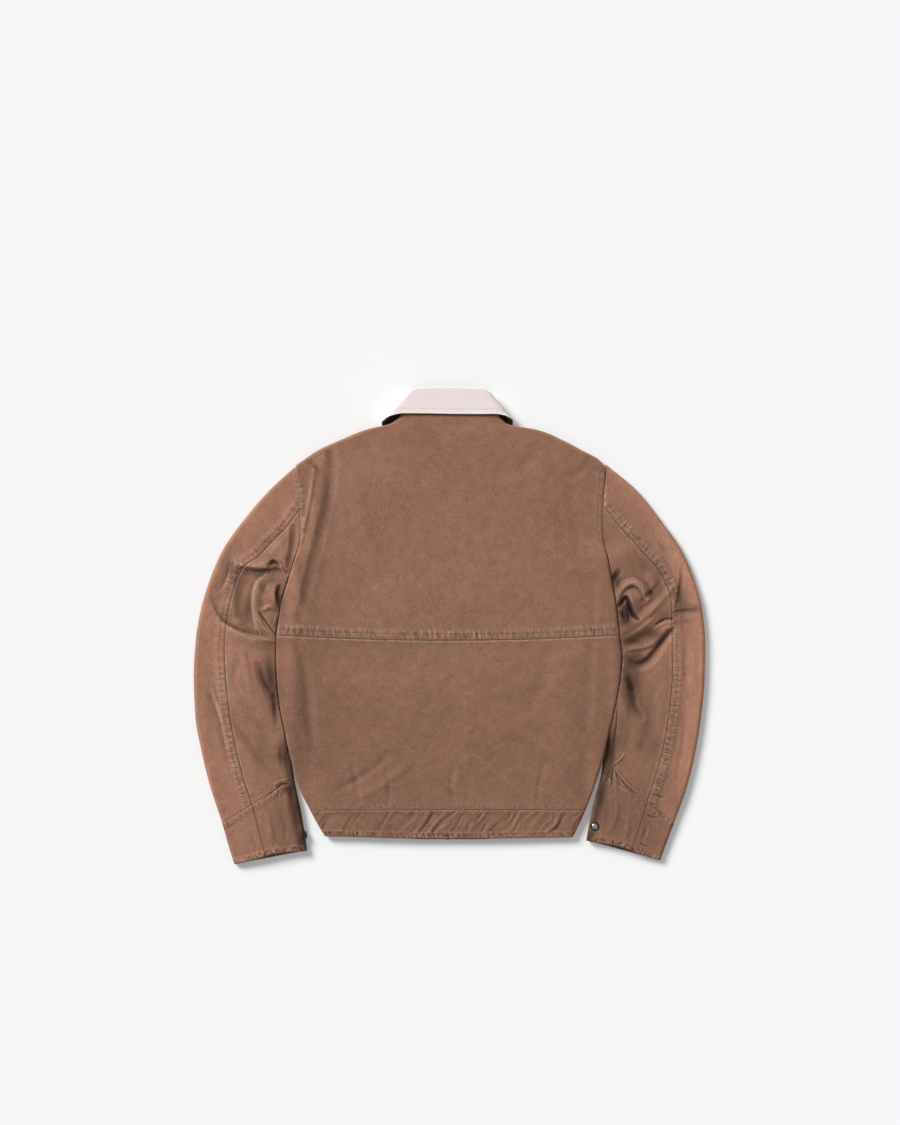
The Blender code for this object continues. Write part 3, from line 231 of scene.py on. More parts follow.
# Creases in the seen side of the cloth: how far each reaches to the left and to the right of
# its path, its height, below zero for a trough, how sharp it is, and its path in plan.
SLEEVE_CREASES = [
    # the fold that hangs over at the elbow, and the hollow below it
    (15, 8, 3.8, 0, (-318.2, 94.1), (-299.4, 91.6), (-284.4, 89.3), (-275, 89.7)),
    (7, 5, -4.9, 0.1, (-269.4, 90.8), (-261.9, 95.3), (-254, 92.7)),
    (7, 14, -4, 0, (-309.7, 85.2), (-291.9, 81.8), (-276.9, 81.8), (-261.9, 84.1), (-250.3, 83.7)),
    (2.6, 2.6, 2.9, 0.3, (-260, 99.1), (-254, 94), (-248.8, 79.9), (-242.2, 62.1)),
    (1.6, 1.6, -2.6, 0.7, (-251, 83.7), (-246.5, 70.6), (-243.9, 61.2)),
    (12.6, 9.8, -4.3, 0, (-306.9, 76.2), (-313.5, 53.7), (-316.3, 27.4), (-308.8, 4.9)),
    (14, 6.3, 4.3, 0, (-273.2, 76.2), (-288.2, 63.1), (-292.8, 38.7), (-291, 16.2), (-286.7, -4.4)),
    (6.3, 5.6, -6.7, 0.4, (-255.2, 58.4), (-257.6, 46.2), (-254, 29.3)),
    (6.3, 5.6, 2.9, 0, (-278.8, 24.6), (-269.4, 29.3), (-261.9, 25.2)),
    (2.4, 2.4, -4.6, 0.8, (-284, 19.6), (-272.8, 4), (-259.7, -14.2)),
    (2, 2, -4.6, 0.8, (-253.7, 19), (-257, -0.7), (-259.7, -14.2)),
    (3, 3, 1.8, 0.3, (-289.1, 16.2), (-276.9, -2.6), (-264.2, -15.7)),
    (2.4, 2.4, 1.8, 0.3, (-260, 14.3), (-263.4, 1.2), (-264.2, -2.9)),
    (8.4, 9.8, -2.3, 0, (-269.4, 46.2), (-276.9, 53.7), (-278.8, 64.9)),
    # the long step across the elbow
    (9.8, 5, -2.9, 0.1, (-359.4, 57.4), (-353.8, 38.7), (-344.4, 18.1), (-335, 6.8), (-314.4, -4.4),
     (-287.2, -12.9), (-259.7, -17.2)),
    (5, 14, 2.5, 0.1, (-366, 51.8), (-358.5, 31.2), (-347.2, 9.6), (-335, -0.7), (-314.4, -12.3),
     (-290, -21.7), (-269.4, -22.2)),
    (7, 8.4, -2.3, 0, (-284.4, -24.1), (-259.7, -28.8)),
    # the dent on the outer edge
    (5, 12.6, -4.6, 0.3, (-329.8, 99.6), (-333.2, 79.9), (-342.5, 56.5)),
    (4.5, 5.6, 2, 0, (-321.5, 100.6), (-319.7, 85.6), (-324.7, 66.8)),
    (5.6, 5.6, 1.7, 0, (-351, 95.9), (-354.7, 78.1), (-359.8, 59.3)),
    (5.6, 4.2, -1.4, 0.3, (-344.4, 109.6), (-333.2, 109.6), (-324.7, 102.4)),
    # along the armhole
    (7.7, 8.4, -4.1, 0, (-233.4, 147.4), (-234.5, 121.2), (-239, 96.8), (-239.4, 81.8)),
    (12.6, 12.6, 1.9, 0, (-257.2, 123.1), (-276.9, 98.7)),
    (8.4, 11.2, -1.4, 0, (-239.4, 158.7), (-254.4, 136.2), (-276.9, 113.7)),
    # down the forearm
    (8.4, 11.2, -4.6, 0.1, (-284.4, -58.8), (-278.9, -81.3), (-266.4, -103.8)),
    (5.5, 5.5, -2.8, 0, (-263.9, -103.8), (-261.4, -123.8), (-258.4, -146.3)),
    (11.2, 11.2, -2.9, 0, (-331.9, -123.8), (-314.4, -156.3), (-294.4, -183.8), (-276.9, -206.3),
     (-256.9, -225.1)),
    (12.6, 11.2, 1.9, 0, (-324.4, -106.3), (-301.9, -138.8), (-276.9, -171.3), (-259.4, -186.3)),
    (7, 7, -3, 0, (-252, -184), (-250.5, -199), (-246, -214)),
    (7, 8.4, -1.9, 0, (-358.2, -106.3), (-349.4, -131.3), (-336.9, -181.3), (-328.2, -211.3)),
    (4.2, 5.6, 1.9, 0, (-356.4, -93.8), (-344.9, -126.3), (-340.7, -141.3)),
    (8.4, 8.4, 1.4, 0, (-309.4, -36.3), (-304.4, -66.3), (-296.9, -96.3)),
    (8.4, 8.4, -1.4, 0, (-316.9, -53.8), (-321.9, -76.3), (-316.9, -96.3)),
    # the arch and the deep crease at the elbow
    (6.3, 7.7, -4.6, 0, (253.5, 80.5), (242.1, 64.4), (244.9, 47.3)),
    (11.2, 5.6, 4.9, 0, (250.2, 30.1), (253.5, 47.3), (262, 59.1), (274.9, 64), (287.1, 56.9),
     (293.5, 41.9)),
    (6, 5, -8, 0.2, (251.3, 27.6), (257.7, 35.5), (264.2, 41.7), (269.5, 30.1), (274.2, 17.3),
     (280.7, 10.8)),
    (7, 7, -3.8, 0, (253.5, 19.4), (267.8, 10.8)),
    (1.8, 1.8, 3.6, 0.3, (261.6, 30.1), (264.2, 18.3), (264.4, 7.6)),
    (1.6, 1.6, -2.4, 0.6, (258.4, 21.6), (260.1, 8.7)),
    (10, 12, 3.2, 0, (257.7, -6.7), (276, 4), (293.1, 19), (310.2, 36.1), (325.2, 53.3)),
    (10, 8, -2.8, 0, (281.5, 12.1), (299.5, 29.7), (316.7, 49), (327.8, 59.7)),
    (7, 7, -2.6, 0, (288.8, 38.7), (303.8, 51.1), (313.5, 62.3)),
    (9.8, 9.8, 2, 0, (299.5, 73), (308.1, 58), (312.4, 47.3)),
    # what runs out of the elbow seam
    (2.2, 2.4, -2.4, 0.4, (335.1, 10.8), (323.1, 10.4), (309.2, 3.3)),
    (2.6, 2.6, 1.6, 0.2, (333.8, 6.1), (321, 4), (306, -4.2)),
    (7, 7, -2.2, 0, (265.2, -30.3), (282.4, -19.6), (299.5, -8.9), (318.8, 8.3)),
    (5.6, 5.6, 2.2, 0.1, (261, -19.6), (282.4, -6.7), (303.8, 10.4)),
    (10, 7, 3.8, 0, (258.8, -35.2), (280.2, -32), (299.5, -27.3), (312.4, -17), (323.1, -6.3),
     (331.7, 1.2)),
    (7, 13, -4.6, 0, (262, -48.1), (278.1, -56.9), (293.1, -52.2), (306, -38.4), (315.6, -24.5),
     (327.8, -8.4)),
    (1.5, 1.5, -5, 0.7, (259.2, -35.2), (258, -47), (257.7, -58.8)),
    (9, 9, -4.4, 0, (263.5, -68.4), (268.7, -79.2), (272.1, -92)),
    (8.4, 9.1, -3.8, 0, (264.6, -81.3), (272.7, -99.5), (277.5, -122), (286, -134.9)),
    (7, 9.8, 2.3, 0, (249.2, -94.2), (259.9, -113.4), (264.2, -132.7)),
    # on the outer edge
    (5, 7, -2.9, 0.1, (338.5, 20.5), (355.2, 23.3), (383.5, 21.6)),
    (7, 7, 1.4, 0, (344.5, 10.4), (368.1, 11.9), (381, 8.7)),
    (9.1, 5, -3.8, 0, (349.2, 88), (346.7, 66.6), (343.5, 47.3), (340.7, 28)),
    (7, 8, -1.5, 0, (348.8, 114.8), (338.1, 107.7), (325.2, 112.6), (308.1, 126.6)),
    (7, 7, 1.4, 0, (346.7, 120.1), (329.5, 123.3), (312.4, 135.1)),
    (11.2, 11.2, -1.7, 0, (299.5, 145.8), (316.7, 126.6), (329.5, 94.4)),
    (7, 8.4, 1.4, 0, (368.1, -12.7), (366, -55.6), (366, -98.4)),
    (7, 7, -1.3, 0, (355.2, -25.6), (353.1, -55.6), (355.2, -94.2)),
    # down the forearm
    (1.3, 1.6, -3.6, 0.7, (251.3, -111.3), (249.6, -145.6), (245.3, -179.9), (242.3, -207.7)),
    (7, 7, -1.4, 0, (253.5, -171.3), (264.2, -182), (279.2, -201.3)),
    (2.4, 2, 2.6, 0.3, (241.7, -209.4), (253.5, -201.7), (261.6, -191.7)),
    (12.6, 12.6, -1.7, 0, (304.9, -102.7), (302.7, -145.6), (292, -184.2)),
    (12.6, 12.6, 1.4, 0, (287.7, -137), (279.2, -167), (274.9, -192.7)),
    (7, 7, -1.4, 0, (352, -124.2), (351, -167), (341.3, -218.4)),
    # right cuff: gathers below the cross seam
    (2.4, 1.5, 2.4, 0.3, (243.6, -209.6), (253.9, -221.8), (267.6, -237.5), (282.3, -248.8)),
    (1.8, 1.8, -2.6, 0.6, (245.6, -213.5), (253.1, -225.5), (265.6, -240.5), (278.9, -251.3)),
    (1.7, 1.7, -2, 0.5, (240.3, -216.3), (237.6, -223.8), (234.8, -233)),
    (1.7, 1.7, -2.2, 0.5, (244.9, -217.1), (243.9, -227.1), (242.6, -240.5)),
    (1.9, 1.9, -1.9, 0.4, (249.3, -220.5), (253.3, -232.1), (255.3, -247.1)),
    (1.8, 1.8, 1.8, 0.3, (242.6, -215.5), (240.9, -225.5), (239.3, -237.1)),
    (1.8, 1.8, 1.6, 0.3, (246.9, -218.8), (248.3, -232.1), (248.6, -248.8)),
    (6.6, 6.6, -1.4, 0, (235.6, -248.8), (237.3, -273.8), (235.6, -300.5)),
    (5.5, 5.5, 1.4, 0, (250.6, -263.8), (248.9, -283.8), (242.3, -303.8)),
    (2.2, 2.4, -2, 0.4, (303.9, -267.1), (312.3, -275.8), (322.3, -287.1), (333.9, -292.1)),
    (2.6, 2.6, 1.4, 0.1, (302.3, -272.1), (310.6, -280.5), (317.3, -290.5)),
    (2.9, 2.9, -1.9, 0.2, (297.3, -283.8), (303.9, -286.3), (310.6, -287.1)),
    (2.9, 2.9, -2, 0.2, (309.8, -252.5), (315.6, -255.5), (320.6, -256.5)),
    (1.8, 2, -2.3, 0.4, (284.8, -325.8), (290.6, -328.5), (297.6, -330.8)),
    (4.4, 4.4, -1.4, 0, (295.6, -300.5), (292.3, -310.5), (288.9, -320.5)),
    (6.6, 6.6, 1.2, 0, (267.3, -287.1), (265.6, -307.1), (262.3, -317.1)),
    # left cuff: the fold over the cross seam and the side in shade
    (2.9, 1.8, 2.7, 0.3, (-261.1, -237.1), (-250.2, -231), (-237.7, -231.6)),
    (1.5, 3.3, -4.3, 0.5, (-257.7, -241.6), (-248.6, -236.3), (-236.9, -238), (-234.9, -246.3)),
    (1.8, 1.8, -2.2, 0.5, (-254.6, -243), (-256.2, -249.6), (-257.6, -255.5)),
    (7.7, 5, -3.5, 0.1, (-235.6, -248.8), (-234.2, -271.3), (-226.6, -298)),
    (4.4, 5.5, 1.6, 0, (-242.7, -248), (-243.6, -271.3), (-236.9, -296.3)),
    (5.5, 5.5, -1.2, 0, (-251.9, -283), (-245.2, -303), (-246.9, -323)),
    (2.2, 2.2, -1.6, 0.3, (-278.6, -258.8), (-268.6, -252.1), (-261.1, -247.1)),
    (6.6, 6.6, 1.2, 0, (-271.9, -279.6), (-268.6, -303), (-265.2, -323)),
    (5, 5, -0.9, 0, (-296.9, -309.6), (-291.9, -319.6), (-288.6, -331.3)),
]
BACK_CREASES = [
    # beside the left armhole and down the left side
    (12, 10, -2.8, 0, (-181, 257), (-178, 219), (-187, 174), (-197, 129), (-208, 84), (-218, 39),
     (-225, 9)),
    (9, 7, -1.1, 0, (-188.1, 245.7), (-185.7, 215.7), (-191.1, 185.7)),
    (5, 6, 1.8, 0, (-201.9, 242.7), (-207.3, 203.7), (-214.5, 164.7), (-224.4, 122.7)),
    (5, 5, -1.5, 0.1, (-213.3, 248.7), (-201.9, 239.7), (-194.4, 227.7)),
    (14, 10, -1.6, 0, (-226, -20), (-216, -90), (-206, -190)),
    (10, 14, -0.9, 0, (215, 70), (212, -40), (204, -190)),
    (22, 22, -1.8, 0, (-110, -60), (-20, -120), (60, -190)),
    (10, 14, 1.2, 0.1, (-60, -206), (-104, -238), (-150, -262)),
    (8, 10, -1.2, 0.1, (-88, -192), (-132, -224), (-176, -248)),
    (9, 13, 1, 0.1, (40, -194), (84, -230), (124, -258)),
    (8, 9, -0.9, 0.1, (-30, -224), (-4, -246), (22, -262)),
    (12, 15, 1.2, 0, (96, -148), (140, -180), (178, -204)),
    (14, 18, 1.2, 0, (-176, -60), (-150, -98), (-120, -134)),
    (18, 18, -1.2, 0, (150, -40), (140, -84), (120, -120)),
    (18, 18, 1.2, 0, (-140, 190), (-128, 140), (-110, 90)),
    (18, 18, 1.2, 0, (130, 214), (148, 170), (158, 120)),
    (12, 13, -1, 0, (180, 204), (188, 150), (192, 96)),
    (8, 9, -0.9, 0, (202, 128), (209, 108), (217, 92)),
    (10, 10, -1, 0, (206, 246), (194, 232), (180, 222)),
    (13, 15, -1, 0, (-132, 274), (-114, 252), (-96, 226)),
    (13, 15, -1, 0, (132, 274), (120, 252), (104, 230)),
    (20, 20, 0.8, 0, (-60, 60), (-10, 44), (40, 20)),
    (9, 8, 0.9, 0, (-228, 86), (-226, 50), (-220, 20)),
    (9, 8, 0.6, 0, (226, 60), (226, 24), (220, -10)),
    (10, 9, 0.8, 0, (-230, -120), (-216, -166), (-200, -206)),
    (10, 9, 0.5, 0, (222, -120), (208, -160), (192, -200)),
    (7, 8, -1, 0.1, (-150, -196), (-142, -230), (-138, -262)),
    (6, 7, -0.9, 0.1, (-96, -214), (-92, -240), (-92, -266)),
    (7, 8, -0.9, 0.1, (6, -206), (2, -236), (4, -264)),
    (8, 7, -1, 0.1, (142, -200), (134, -232), (130, -262)),
]

# Broad zones painted paler and darker: mostly painted shade in hollows and painted light on folds
# turned to the light, a few the cloth's own rubbed marks; place, reach each way and how much paler.
FADE_AND_PAINTED_LIGHT_ZONES = [
    (-345, 60, 45, 190, 0.16), (-330, -200, 40, 110, 0.14), (345, 90, 40, 150, 0.20),
    (352, -120, 40, 120, 0.22), (262, -120, 34, 150, -0.18), (265, -285, 60, 55, -0.26),
    (-240, -285, 20, 50, -0.24), (-290, 20, 40, 150, 0.05), (-242, -20, 9, 130, 0.10),
    # paler outer folds of the sleeves, partly the cloth's own fading and partly painted light
    (-364, 24, 9, 38, 0.14), (-371, -152, 9, 33, 0.17), (-357, -215, 9, 30, 0.10),
    (-322, -329, 15, 30, 0.10), (382, -20, 8, 70, 0.10), (371, -170, 8, 60, 0.10),
    (332, -310, 10, 40, 0.12),
    # painted shade in the gap beside the right sleeve's end
    (228, -245, 7, 18, -0.30), (240, -165, 5, 40, -0.12),
    # painted shade in the hollows of the left sleeve, and painted light on its folds turned to the
    # light
    (-302, 71, 20, 11, -0.29), (-269, 74, 13, 9, -0.35), (-254, 42, 6, 20, -0.75),
    (-304, 27, 8, 31, -0.43), (-268, -82, 10, 30, -0.67), (-262, -112, 6, 20, -0.43),
    (-272, -29, 16, 9, -0.35), (-279, -72, 11, 24, -0.20), (-326, 82, 8, 20, -0.29),
    (-332, 16, 18, 8, -0.29), (-352, 41, 9, 22, -0.23), (-359, -116, 8, 42, -0.20),
    (-318, -138, 12, 22, -0.14), (-284, -190, 14, 22, -0.14), (-262, 4, 8, 12, -0.36),
    (-281, 57, 8, 9, 0.31), (-264, 50, 7, 14, 0.18), (-280, 92, 22, 6, 0.16),
    (-300, -50, 14, 20, 0.07), (-330, -60, 14, 40, 0.07), (-263, -187, 9, 20, 0.26),
    (-277, -236, 18, 22, 0.17), (-297, -196, 8, 18, 0.13), (-302, -104, 14, 30, 0.10),
    (-249, -198, 6, 12, -0.49), (-245, -244, 9, 6, -0.52),
    # painted shade and painted light down the sides of the back and on its folds
    (-224, -120, 12, 85, -0.26), (-214, 50, 9, 50, -0.20), (-197, 135, 8, 40, -0.22),
    (-182, 190, 8, 40, -0.20), (-236, 60, 6, 50, 0.22), (-203, -246, 20, 22, 0.16),
    (-185, -284, 22, 14, 0.16), (242, -110, 7, 75, 0.30), (214, -255, 9, 55, 0.40),
    (190, -140, 20, 60, -0.15), (185, 50, 30, 60, -0.09), (40, -205, 45, 40, -0.08),
    (-100, -75, 90, 24, 0.14), (-60, -24, 240, 8, -0.10), (-207, 172, 7, 32, 0.34),
    (-217, 137, 6, 20, 0.30), (-190, 253, 7, 9, 0.40), (-120, 240, 60, 40, 0.06),
    (-207, -60, 14, 40, -0.12), (60, 290, 60, 20, 0.08), (232.5, 215, 2.5, 28, 1.10),
    # painted light below the left armhole
    (-245, 160, 9, 28, 0.26), (-259, 122, 8, 20, 0.22), (-300, 165, 34, 34, 0.16),
    # painted shade in the hollows of the right sleeve, and painted light on its folds turned to the
    # light
    (249, 67, 8, 15, -0.64), (306, 58, 15, 16, -0.32), (264, 24, 11, 12, -0.75),
    (277, 20, 9, 9, -0.43), (262, 6, 10, 8, -0.58), (268, -20, 16, 12, -0.43),
    (302, -14, 20, 9, -0.49), (322, 16, 20, 12, -0.38), (345, 42, 9, 22, -0.46),
    (366, 26, 18, 8, -0.26), (316, 81, 10, 15, -0.29), (294, 92, 14, 12, -0.17),
    (276, -48, 17, 9, -0.46), (270, -60, 11, 11, -0.35), (272, -90, 12, 26, -0.64),
    (288, -128, 9, 18, -0.29), (300, -178, 18, 28, -0.19), (307, -125, 14, 25, -0.14),
    (338, -268, 12, 24, -0.20), (243, -284, 14, 32, -0.20), (240, -186, 6, 22, -0.29),
    (262, 54, 10, 9, 0.44), (300, 59, 9, 7, 0.26), (281, 45, 6, 10, 0.13),
    (300, 22, 10, 8, 0.10), (290, -34, 20, 4, 0.21), (316, -262, 18, 26, 0.21),
    (280, -305, 16, 26, 0.13), (327, -202, 12, 14, 0.16), (268, -142, 9, 26, 0.16),
    # painted shade where it is deepest, with a few painted highlights
    (-262, 90, 9, 8, -0.50), (-240, 100, 7, 18, -0.26), (-303, 18, 9, 28, -0.26),
    (-325, 84, 7, 16, -0.24), (-338, 52, 7, 18, -0.18), (-272, -62, 9, 22, -0.28),
    (-262, -118, 7, 30, -0.36), (-244, -204, 6, 16, -0.42), (-236, -232, 6, 18, -0.50),
    (-226, -272, 7, 22, -0.40), (-219, -318, 7, 18, -0.36), (-300, -135, 9, 12, -0.14),
    (-282, -162, 9, 14, -0.16), (-266, -190, 9, 12, -0.14), (-183, 160, 8, 40, -0.16),
    (-195, 110, 10, 40, -0.20), (-205, 60, 8, 36, -0.18), (-262, 28, 9, 10, -0.22),
    (300, 50, 14, 10, -0.36), (284, 33, 12, 8, -0.40), (264, 12, 10, 8, -0.44),
    (262, 30, 7, 7, -0.45), (305, -10, 18, 8, -0.34), (275, -24, 18, 6, -0.40),
    (346, 36, 10, 24, -0.22), (370, 26, 16, 7, -0.16), (276, -90, 10, 26, -0.14),
    (332, -95, 12, 40, -0.16), (302, -172, 14, 22, -0.14), (248, 68, 7, 12, -0.26),
    (290, 95, 24, 14, -0.14), (226, -262, 6, 26, -0.34),
    (208, -316, 7, 16, -0.36), (219, -285, 5, 18, -0.32), (-264, -187, 8, 8, 0.22),
    (-256, -178, 8, 10, 0.14), (328, -20, 10, 5, 0.30), (312, -32, 10, 5, 0.26),
    (262, 48, 10, 6, 0.24),
    # rubbed marks on the back
    (21, -101, 14, 2, 0.14), (-188, -81, 2, 5, 0.30), (-112, 58, 3, 5, 0.12),
]
# The shade down a sleeve's and a cuff's inner edge: where it starts round the ring, and how deep.
INNER_SHADE = {"left": (1.93, 0.45), "right": (1.87, 0.50)}
CUFF_SHADE = {"left": (1.87, 0.70), "right": (1.90, 0.66)}

# Lifts of the cloth off the surface on the hidden underside.
UNDERSIDE_CREASES = [
    (12.8, 19.2, 1.6, 0, (-60, 120), (-130, 94), (-180, 40)),
    (14, 14, 1.4, 0, (-40, -60), (-102, -77), (-150, -120)),
    (9.6, 14.4, 1.2, 0, (-170, -150), (-156, -201), (-120, -240)),
    (11, 11, 1.2, 0, (-70, 190), (-115, 180), (-150, 150)),
    (13.5, 16.5, 1.5, 0, (60, 110), (105, 57), (170, 30)),
    (16, 16, 1.5, 0, (50, -40), (84, -96), (140, -130)),
    (8.8, 13.2, 1.1, 0, (120, -180), (137, -221), (170, -250)),
    (10, 10, 1.1, 0, (80, 180), (118, 160), (160, 160)),
    (9.6, 14.4, 2.2, 0, (-320, 80), (-301, 49), (-270, 30)),
    (9, 11, 1.8, 0, (-350, 0), (-322, -17), (-290, -20)),
    (9.9, 12.1, 1.4, 0, (-340, -90), (-316, -122), (-280, -140)),
    (9, 9, 1.2, 0, (-320, -190), (-297, -206), (-270, -210)),
    (9.6, 14.4, 2.2, 0, (316, 84), (284, 68), (262, 40)),
    (9, 11, 1.8, 0, (352, 10), (316, 0), (288, -26)),
    (9.9, 12.1, 1.4, 0, (338, -84), (302, -100), (278, -130)),
    (9, 9, 1.2, 0, (322, -180), (292, -187), (268, -206)),
]


def smoothstep(start, end, value):
    share = np.clip((np.asarray(value, float) - start) / (end - start), 0, 1)
    return share * share * (3 - 2 * share)


def mix(a, b, share):
    return a + (b - a) * share


def bell(offset, reach):
    return np.exp(-(offset / reach) ** 2)


def unit(vectors):
    return vectors / np.maximum(np.linalg.norm(vectors, axis=-1, keepdims=True), 1e-9)


def run_along(line):
    """How far each point of a line lies along it."""
    return np.concatenate([[0], np.cumsum(np.linalg.norm(np.diff(line, axis=0), axis=1))])


def stepped(*runs):
    """Places along joined runs, each given as its start, its end and its count."""
    return np.concatenate([np.linspace(*runs[0])] + [np.linspace(*run)[1:] for run in runs[1:]])


def on_grid(x, y, z):
    """Points from places across the columns, down the rows, and heights."""
    return np.stack(np.broadcast_arrays(x, y, z), axis=2)


def curve(places, values, at):
    """Smooth curves through a table's columns that never overshoot it."""
    values = np.asarray(values, float)
    step = np.diff(places)[:, None]
    slope = np.diff(values, axis=0) / step
    before, after = slope[:-1], slope[1:]
    same = before * after > 0
    safe_before, safe_after = np.where(same, before, 1.0), np.where(same, after, 1.0)
    near, far = 2 * step[1:] + step[:-1], step[1:] + 2 * step[:-1]
    middle = 3 * (step[:-1] + step[1:]) / (near / safe_before + far / safe_after)
    tangent = np.concatenate([slope[:1], np.where(same, middle, 0.0), slope[-1:]])
    i = np.clip(np.searchsorted(places, at, side="right") - 1, 0, len(places) - 2)
    h = step[i]
    s = np.clip((at - places[i]) / h[:, 0], 0, 1)[:, None]
    return (values[i] * (1 + 2 * s) * (1 - s) ** 2 + tangent[i] * h * s * (1 - s) ** 2
            + values[i + 1] * s * s * (3 - 2 * s) + tangent[i + 1] * h * s * s * (s - 1))


def noise(x, y, size, seed):
    """Smooth noise from -1 to 1 with features about as large as size."""
    table = np.random.RandomState(seed).uniform(-1, 1, (64, 64))
    gx, gy = np.asarray(x) / size + 31.7, np.asarray(y) / size + 17.3
    i, j = np.floor(gx).astype(int), np.floor(gy).astype(int)
    fx, fy = gx - i, gy - j
    fx, fy = fx * fx * (3 - 2 * fx), fy * fy * (3 - 2 * fy)
    i0, j0, i1, j1 = i % 64, j % 64, (i + 1) % 64, (j + 1) % 64
    return mix(mix(table[i0, j0], table[i1, j0], fx), mix(table[i0, j1], table[i1, j1], fx), fy)


def smooth_path(path):
    """A path's points joined by a smooth curve, about 3 mm apart."""
    points = np.array(path, float)
    ends = np.concatenate([2 * points[:1] - points[1:2], points, 2 * points[-1:] - points[-2:-1]])
    run = []
    for a, b, c, d in zip(ends, ends[1:], ends[2:], ends[3:]):
        share = np.linspace(0, 1, int(np.linalg.norm(c - b) / 3) + 2)[:-1, None]
        run.append(b + 0.5 * share * (c - a + share * (
            2 * a - 5 * b + 4 * c - d + share * (3 * (b - c) + d - a))))
    return np.concatenate(run + [points[-1:]])


def crease_height(creases, x, y):
    """What the creases add to the cloth's height at places in plan."""
    total = np.zeros(np.shape(x))
    flat_x, flat_y = np.ravel(x), np.ravel(y)
    for left, right, crest, sharp, *path in creases:
        path = smooth_path(path)
        reach = max(left, right)
        low, high = path.min(0) - reach, path.max(0) + reach
        near = np.nonzero((flat_x > low[0]) & (flat_x < high[0])
                          & (flat_y > low[1]) & (flat_y < high[1]))[0]
        if not len(near):
            continue
        place = np.stack([flat_x[near], flat_y[near]], axis=1)
        start, step = path[:-1], np.diff(path, axis=0)
        length = np.maximum(np.linalg.norm(step, axis=1), 1e-6)
        to_place = place[:, None] - start[None]
        share = np.clip((to_place * step).sum(2) / length ** 2, 0, 1)
        offset = to_place - share[:, :, None] * step
        gap = np.linalg.norm(offset, axis=2)
        nearest = gap.argmin(axis=1)
        index = np.arange(len(near))
        gap, share = gap[index, nearest], share[index, nearest]
        off, run = offset[index, nearest], step[nearest]
        on_left = run[:, 0] * off[:, 1] - run[:, 1] * off[:, 0] > 0
        distance = gap / np.where(on_left, left, right)
        before = np.concatenate([[0], np.cumsum(length)])
        along = (before[nearest] + share * length[nearest]) / before[-1]
        taper = 1 - 0.45 * (2 * along - 1) ** 2
        soft = np.clip(1 - distance ** 2, 0, 1) ** 2
        pointed = np.clip(1 - distance, 0, 1) ** 1.5
        total.ravel()[near] += crest * taper * mix(soft, pointed, sharp)
    return total


def body_at(y):
    y = np.asarray(y, float)
    rows = curve(-BODY[:, 0], BODY, -y.ravel()).T
    return Body(*[column.reshape(y.shape) for column in rows])


def ring_at(side, t):
    table = SLEEVE[side]
    return Ring(*curve(np.arange(len(table), dtype=float), table, t).T)


def lift(y):
    return COLLAR_LIFT * smoothstep(LIFT_START_Y, LIFT_FULL_Y, y)


def armhole_reach(side, y):
    ring = Ring(*SLEEVE[side][0])
    share = np.clip((ring.out_y - y) / (ring.out_y - ring.in_y), 0, 1)
    return np.abs(mix(ring.out_x, ring.in_x, share)) - ring.bow * 4 * share * (1 - share)


def inner_reach(side, y):
    table = SLEEVE[side]
    return np.abs(curve(-table[:, 3], table[:, 2:3], -y)[:, 0])


def side_profile(side, y):
    """The back's side at each section: the end of the flat, the roll and the tuck's length."""
    row = body_at(y)
    turn = np.radians(row.turn)
    wide = row.roll * row.spread
    flat = np.abs(getattr(row, side)) - wide * np.sin(np.minimum(turn, math.pi / 2))
    flat -= np.where(row.turn < 90, TUCK_TAIL * np.cos(turn), 0)
    after = flat + wide * np.sin(turn)
    tucked = np.cos(turn) < -0.5
    share = smoothstep(UNDERARM_Y + 3, UNDERARM_Y - 14, y)
    seam = mix(armhole_reach(side, y) - SLEEVE_LAP, inner_reach(side, y) - 1 - WALL, share)
    reach = (after - seam) / np.where(tucked, -np.cos(turn), 1)
    tail = np.where(tucked, np.maximum(TUCK_TAIL, reach), TUCK_TAIL)
    return row, flat, wide, turn, tail


def back_side(profile, distance):
    """Reach and height on the back's side, by distances along the cloth past the flat."""
    row, flat, wide, turn, _ = [p if isinstance(p, Body) else p[:, None] for p in profile]
    roll, top = row.roll[:, None], row.top[:, None]
    angle = np.minimum(distance / roll, turn)
    beyond = np.maximum(0.0, distance - roll * turn)
    reach = flat + wide * np.sin(angle) + beyond * np.cos(turn)
    return reach, top - roll * (1 - np.cos(angle)) - beyond * np.sin(turn), angle


def back_half(side, y, shares, rolls, tails):
    """Half of the back, from its middle to its sewn edge, and how open to the light it lies."""
    profile = side_profile(side, y)
    row, flat, _, turn, tail = profile
    arc = (row.roll * turn)[:, None]
    place = mix(row.mid[:, None], row.top[:, None], smoothstep(0.55, 1.0, shares)[None])
    reach, height, angle = back_side(
        profile, np.concatenate([arc * rolls, arc + tail[:, None] * tails], axis=1))
    x = np.concatenate([flat[:, None] * shares, reach], axis=1) * SIDES[side]
    z = np.concatenate([place, height], axis=1)
    bow = row.bow[:, None] * (1 - shares ** 2)[None]
    shift = np.concatenate([bow, np.zeros(reach.shape)], axis=1)
    seen = np.concatenate([np.ones(place.shape), np.clip(np.cos(angle), 0, 1)], axis=1)
    return np.stack([x, y[:, None] + shift, z], axis=2), seen


def back_grid(y, shares, rolls, tails):
    left, left_seen = back_half("left", y, shares, rolls, tails)
    right, right_seen = back_half("right", y, shares, rolls, tails)
    points = np.concatenate([left[:, ::-1], right[:, 1:]], axis=1)
    return points, np.concatenate([left_seen[:, ::-1], right_seen[:, 1:]], axis=1)


def front_inner(side, y):
    reach = curve(NECKLINE[:, 1], NECKLINE[:, :1], y)[:, 0] - NECKLINE[0, 0]
    reach = np.where(y <= NECK_FRONT_Y, 0.0, reach)
    return CENTRE_FRONT + SIDES[side] * FRONT_GAP + (reach if side == "left" else -reach)


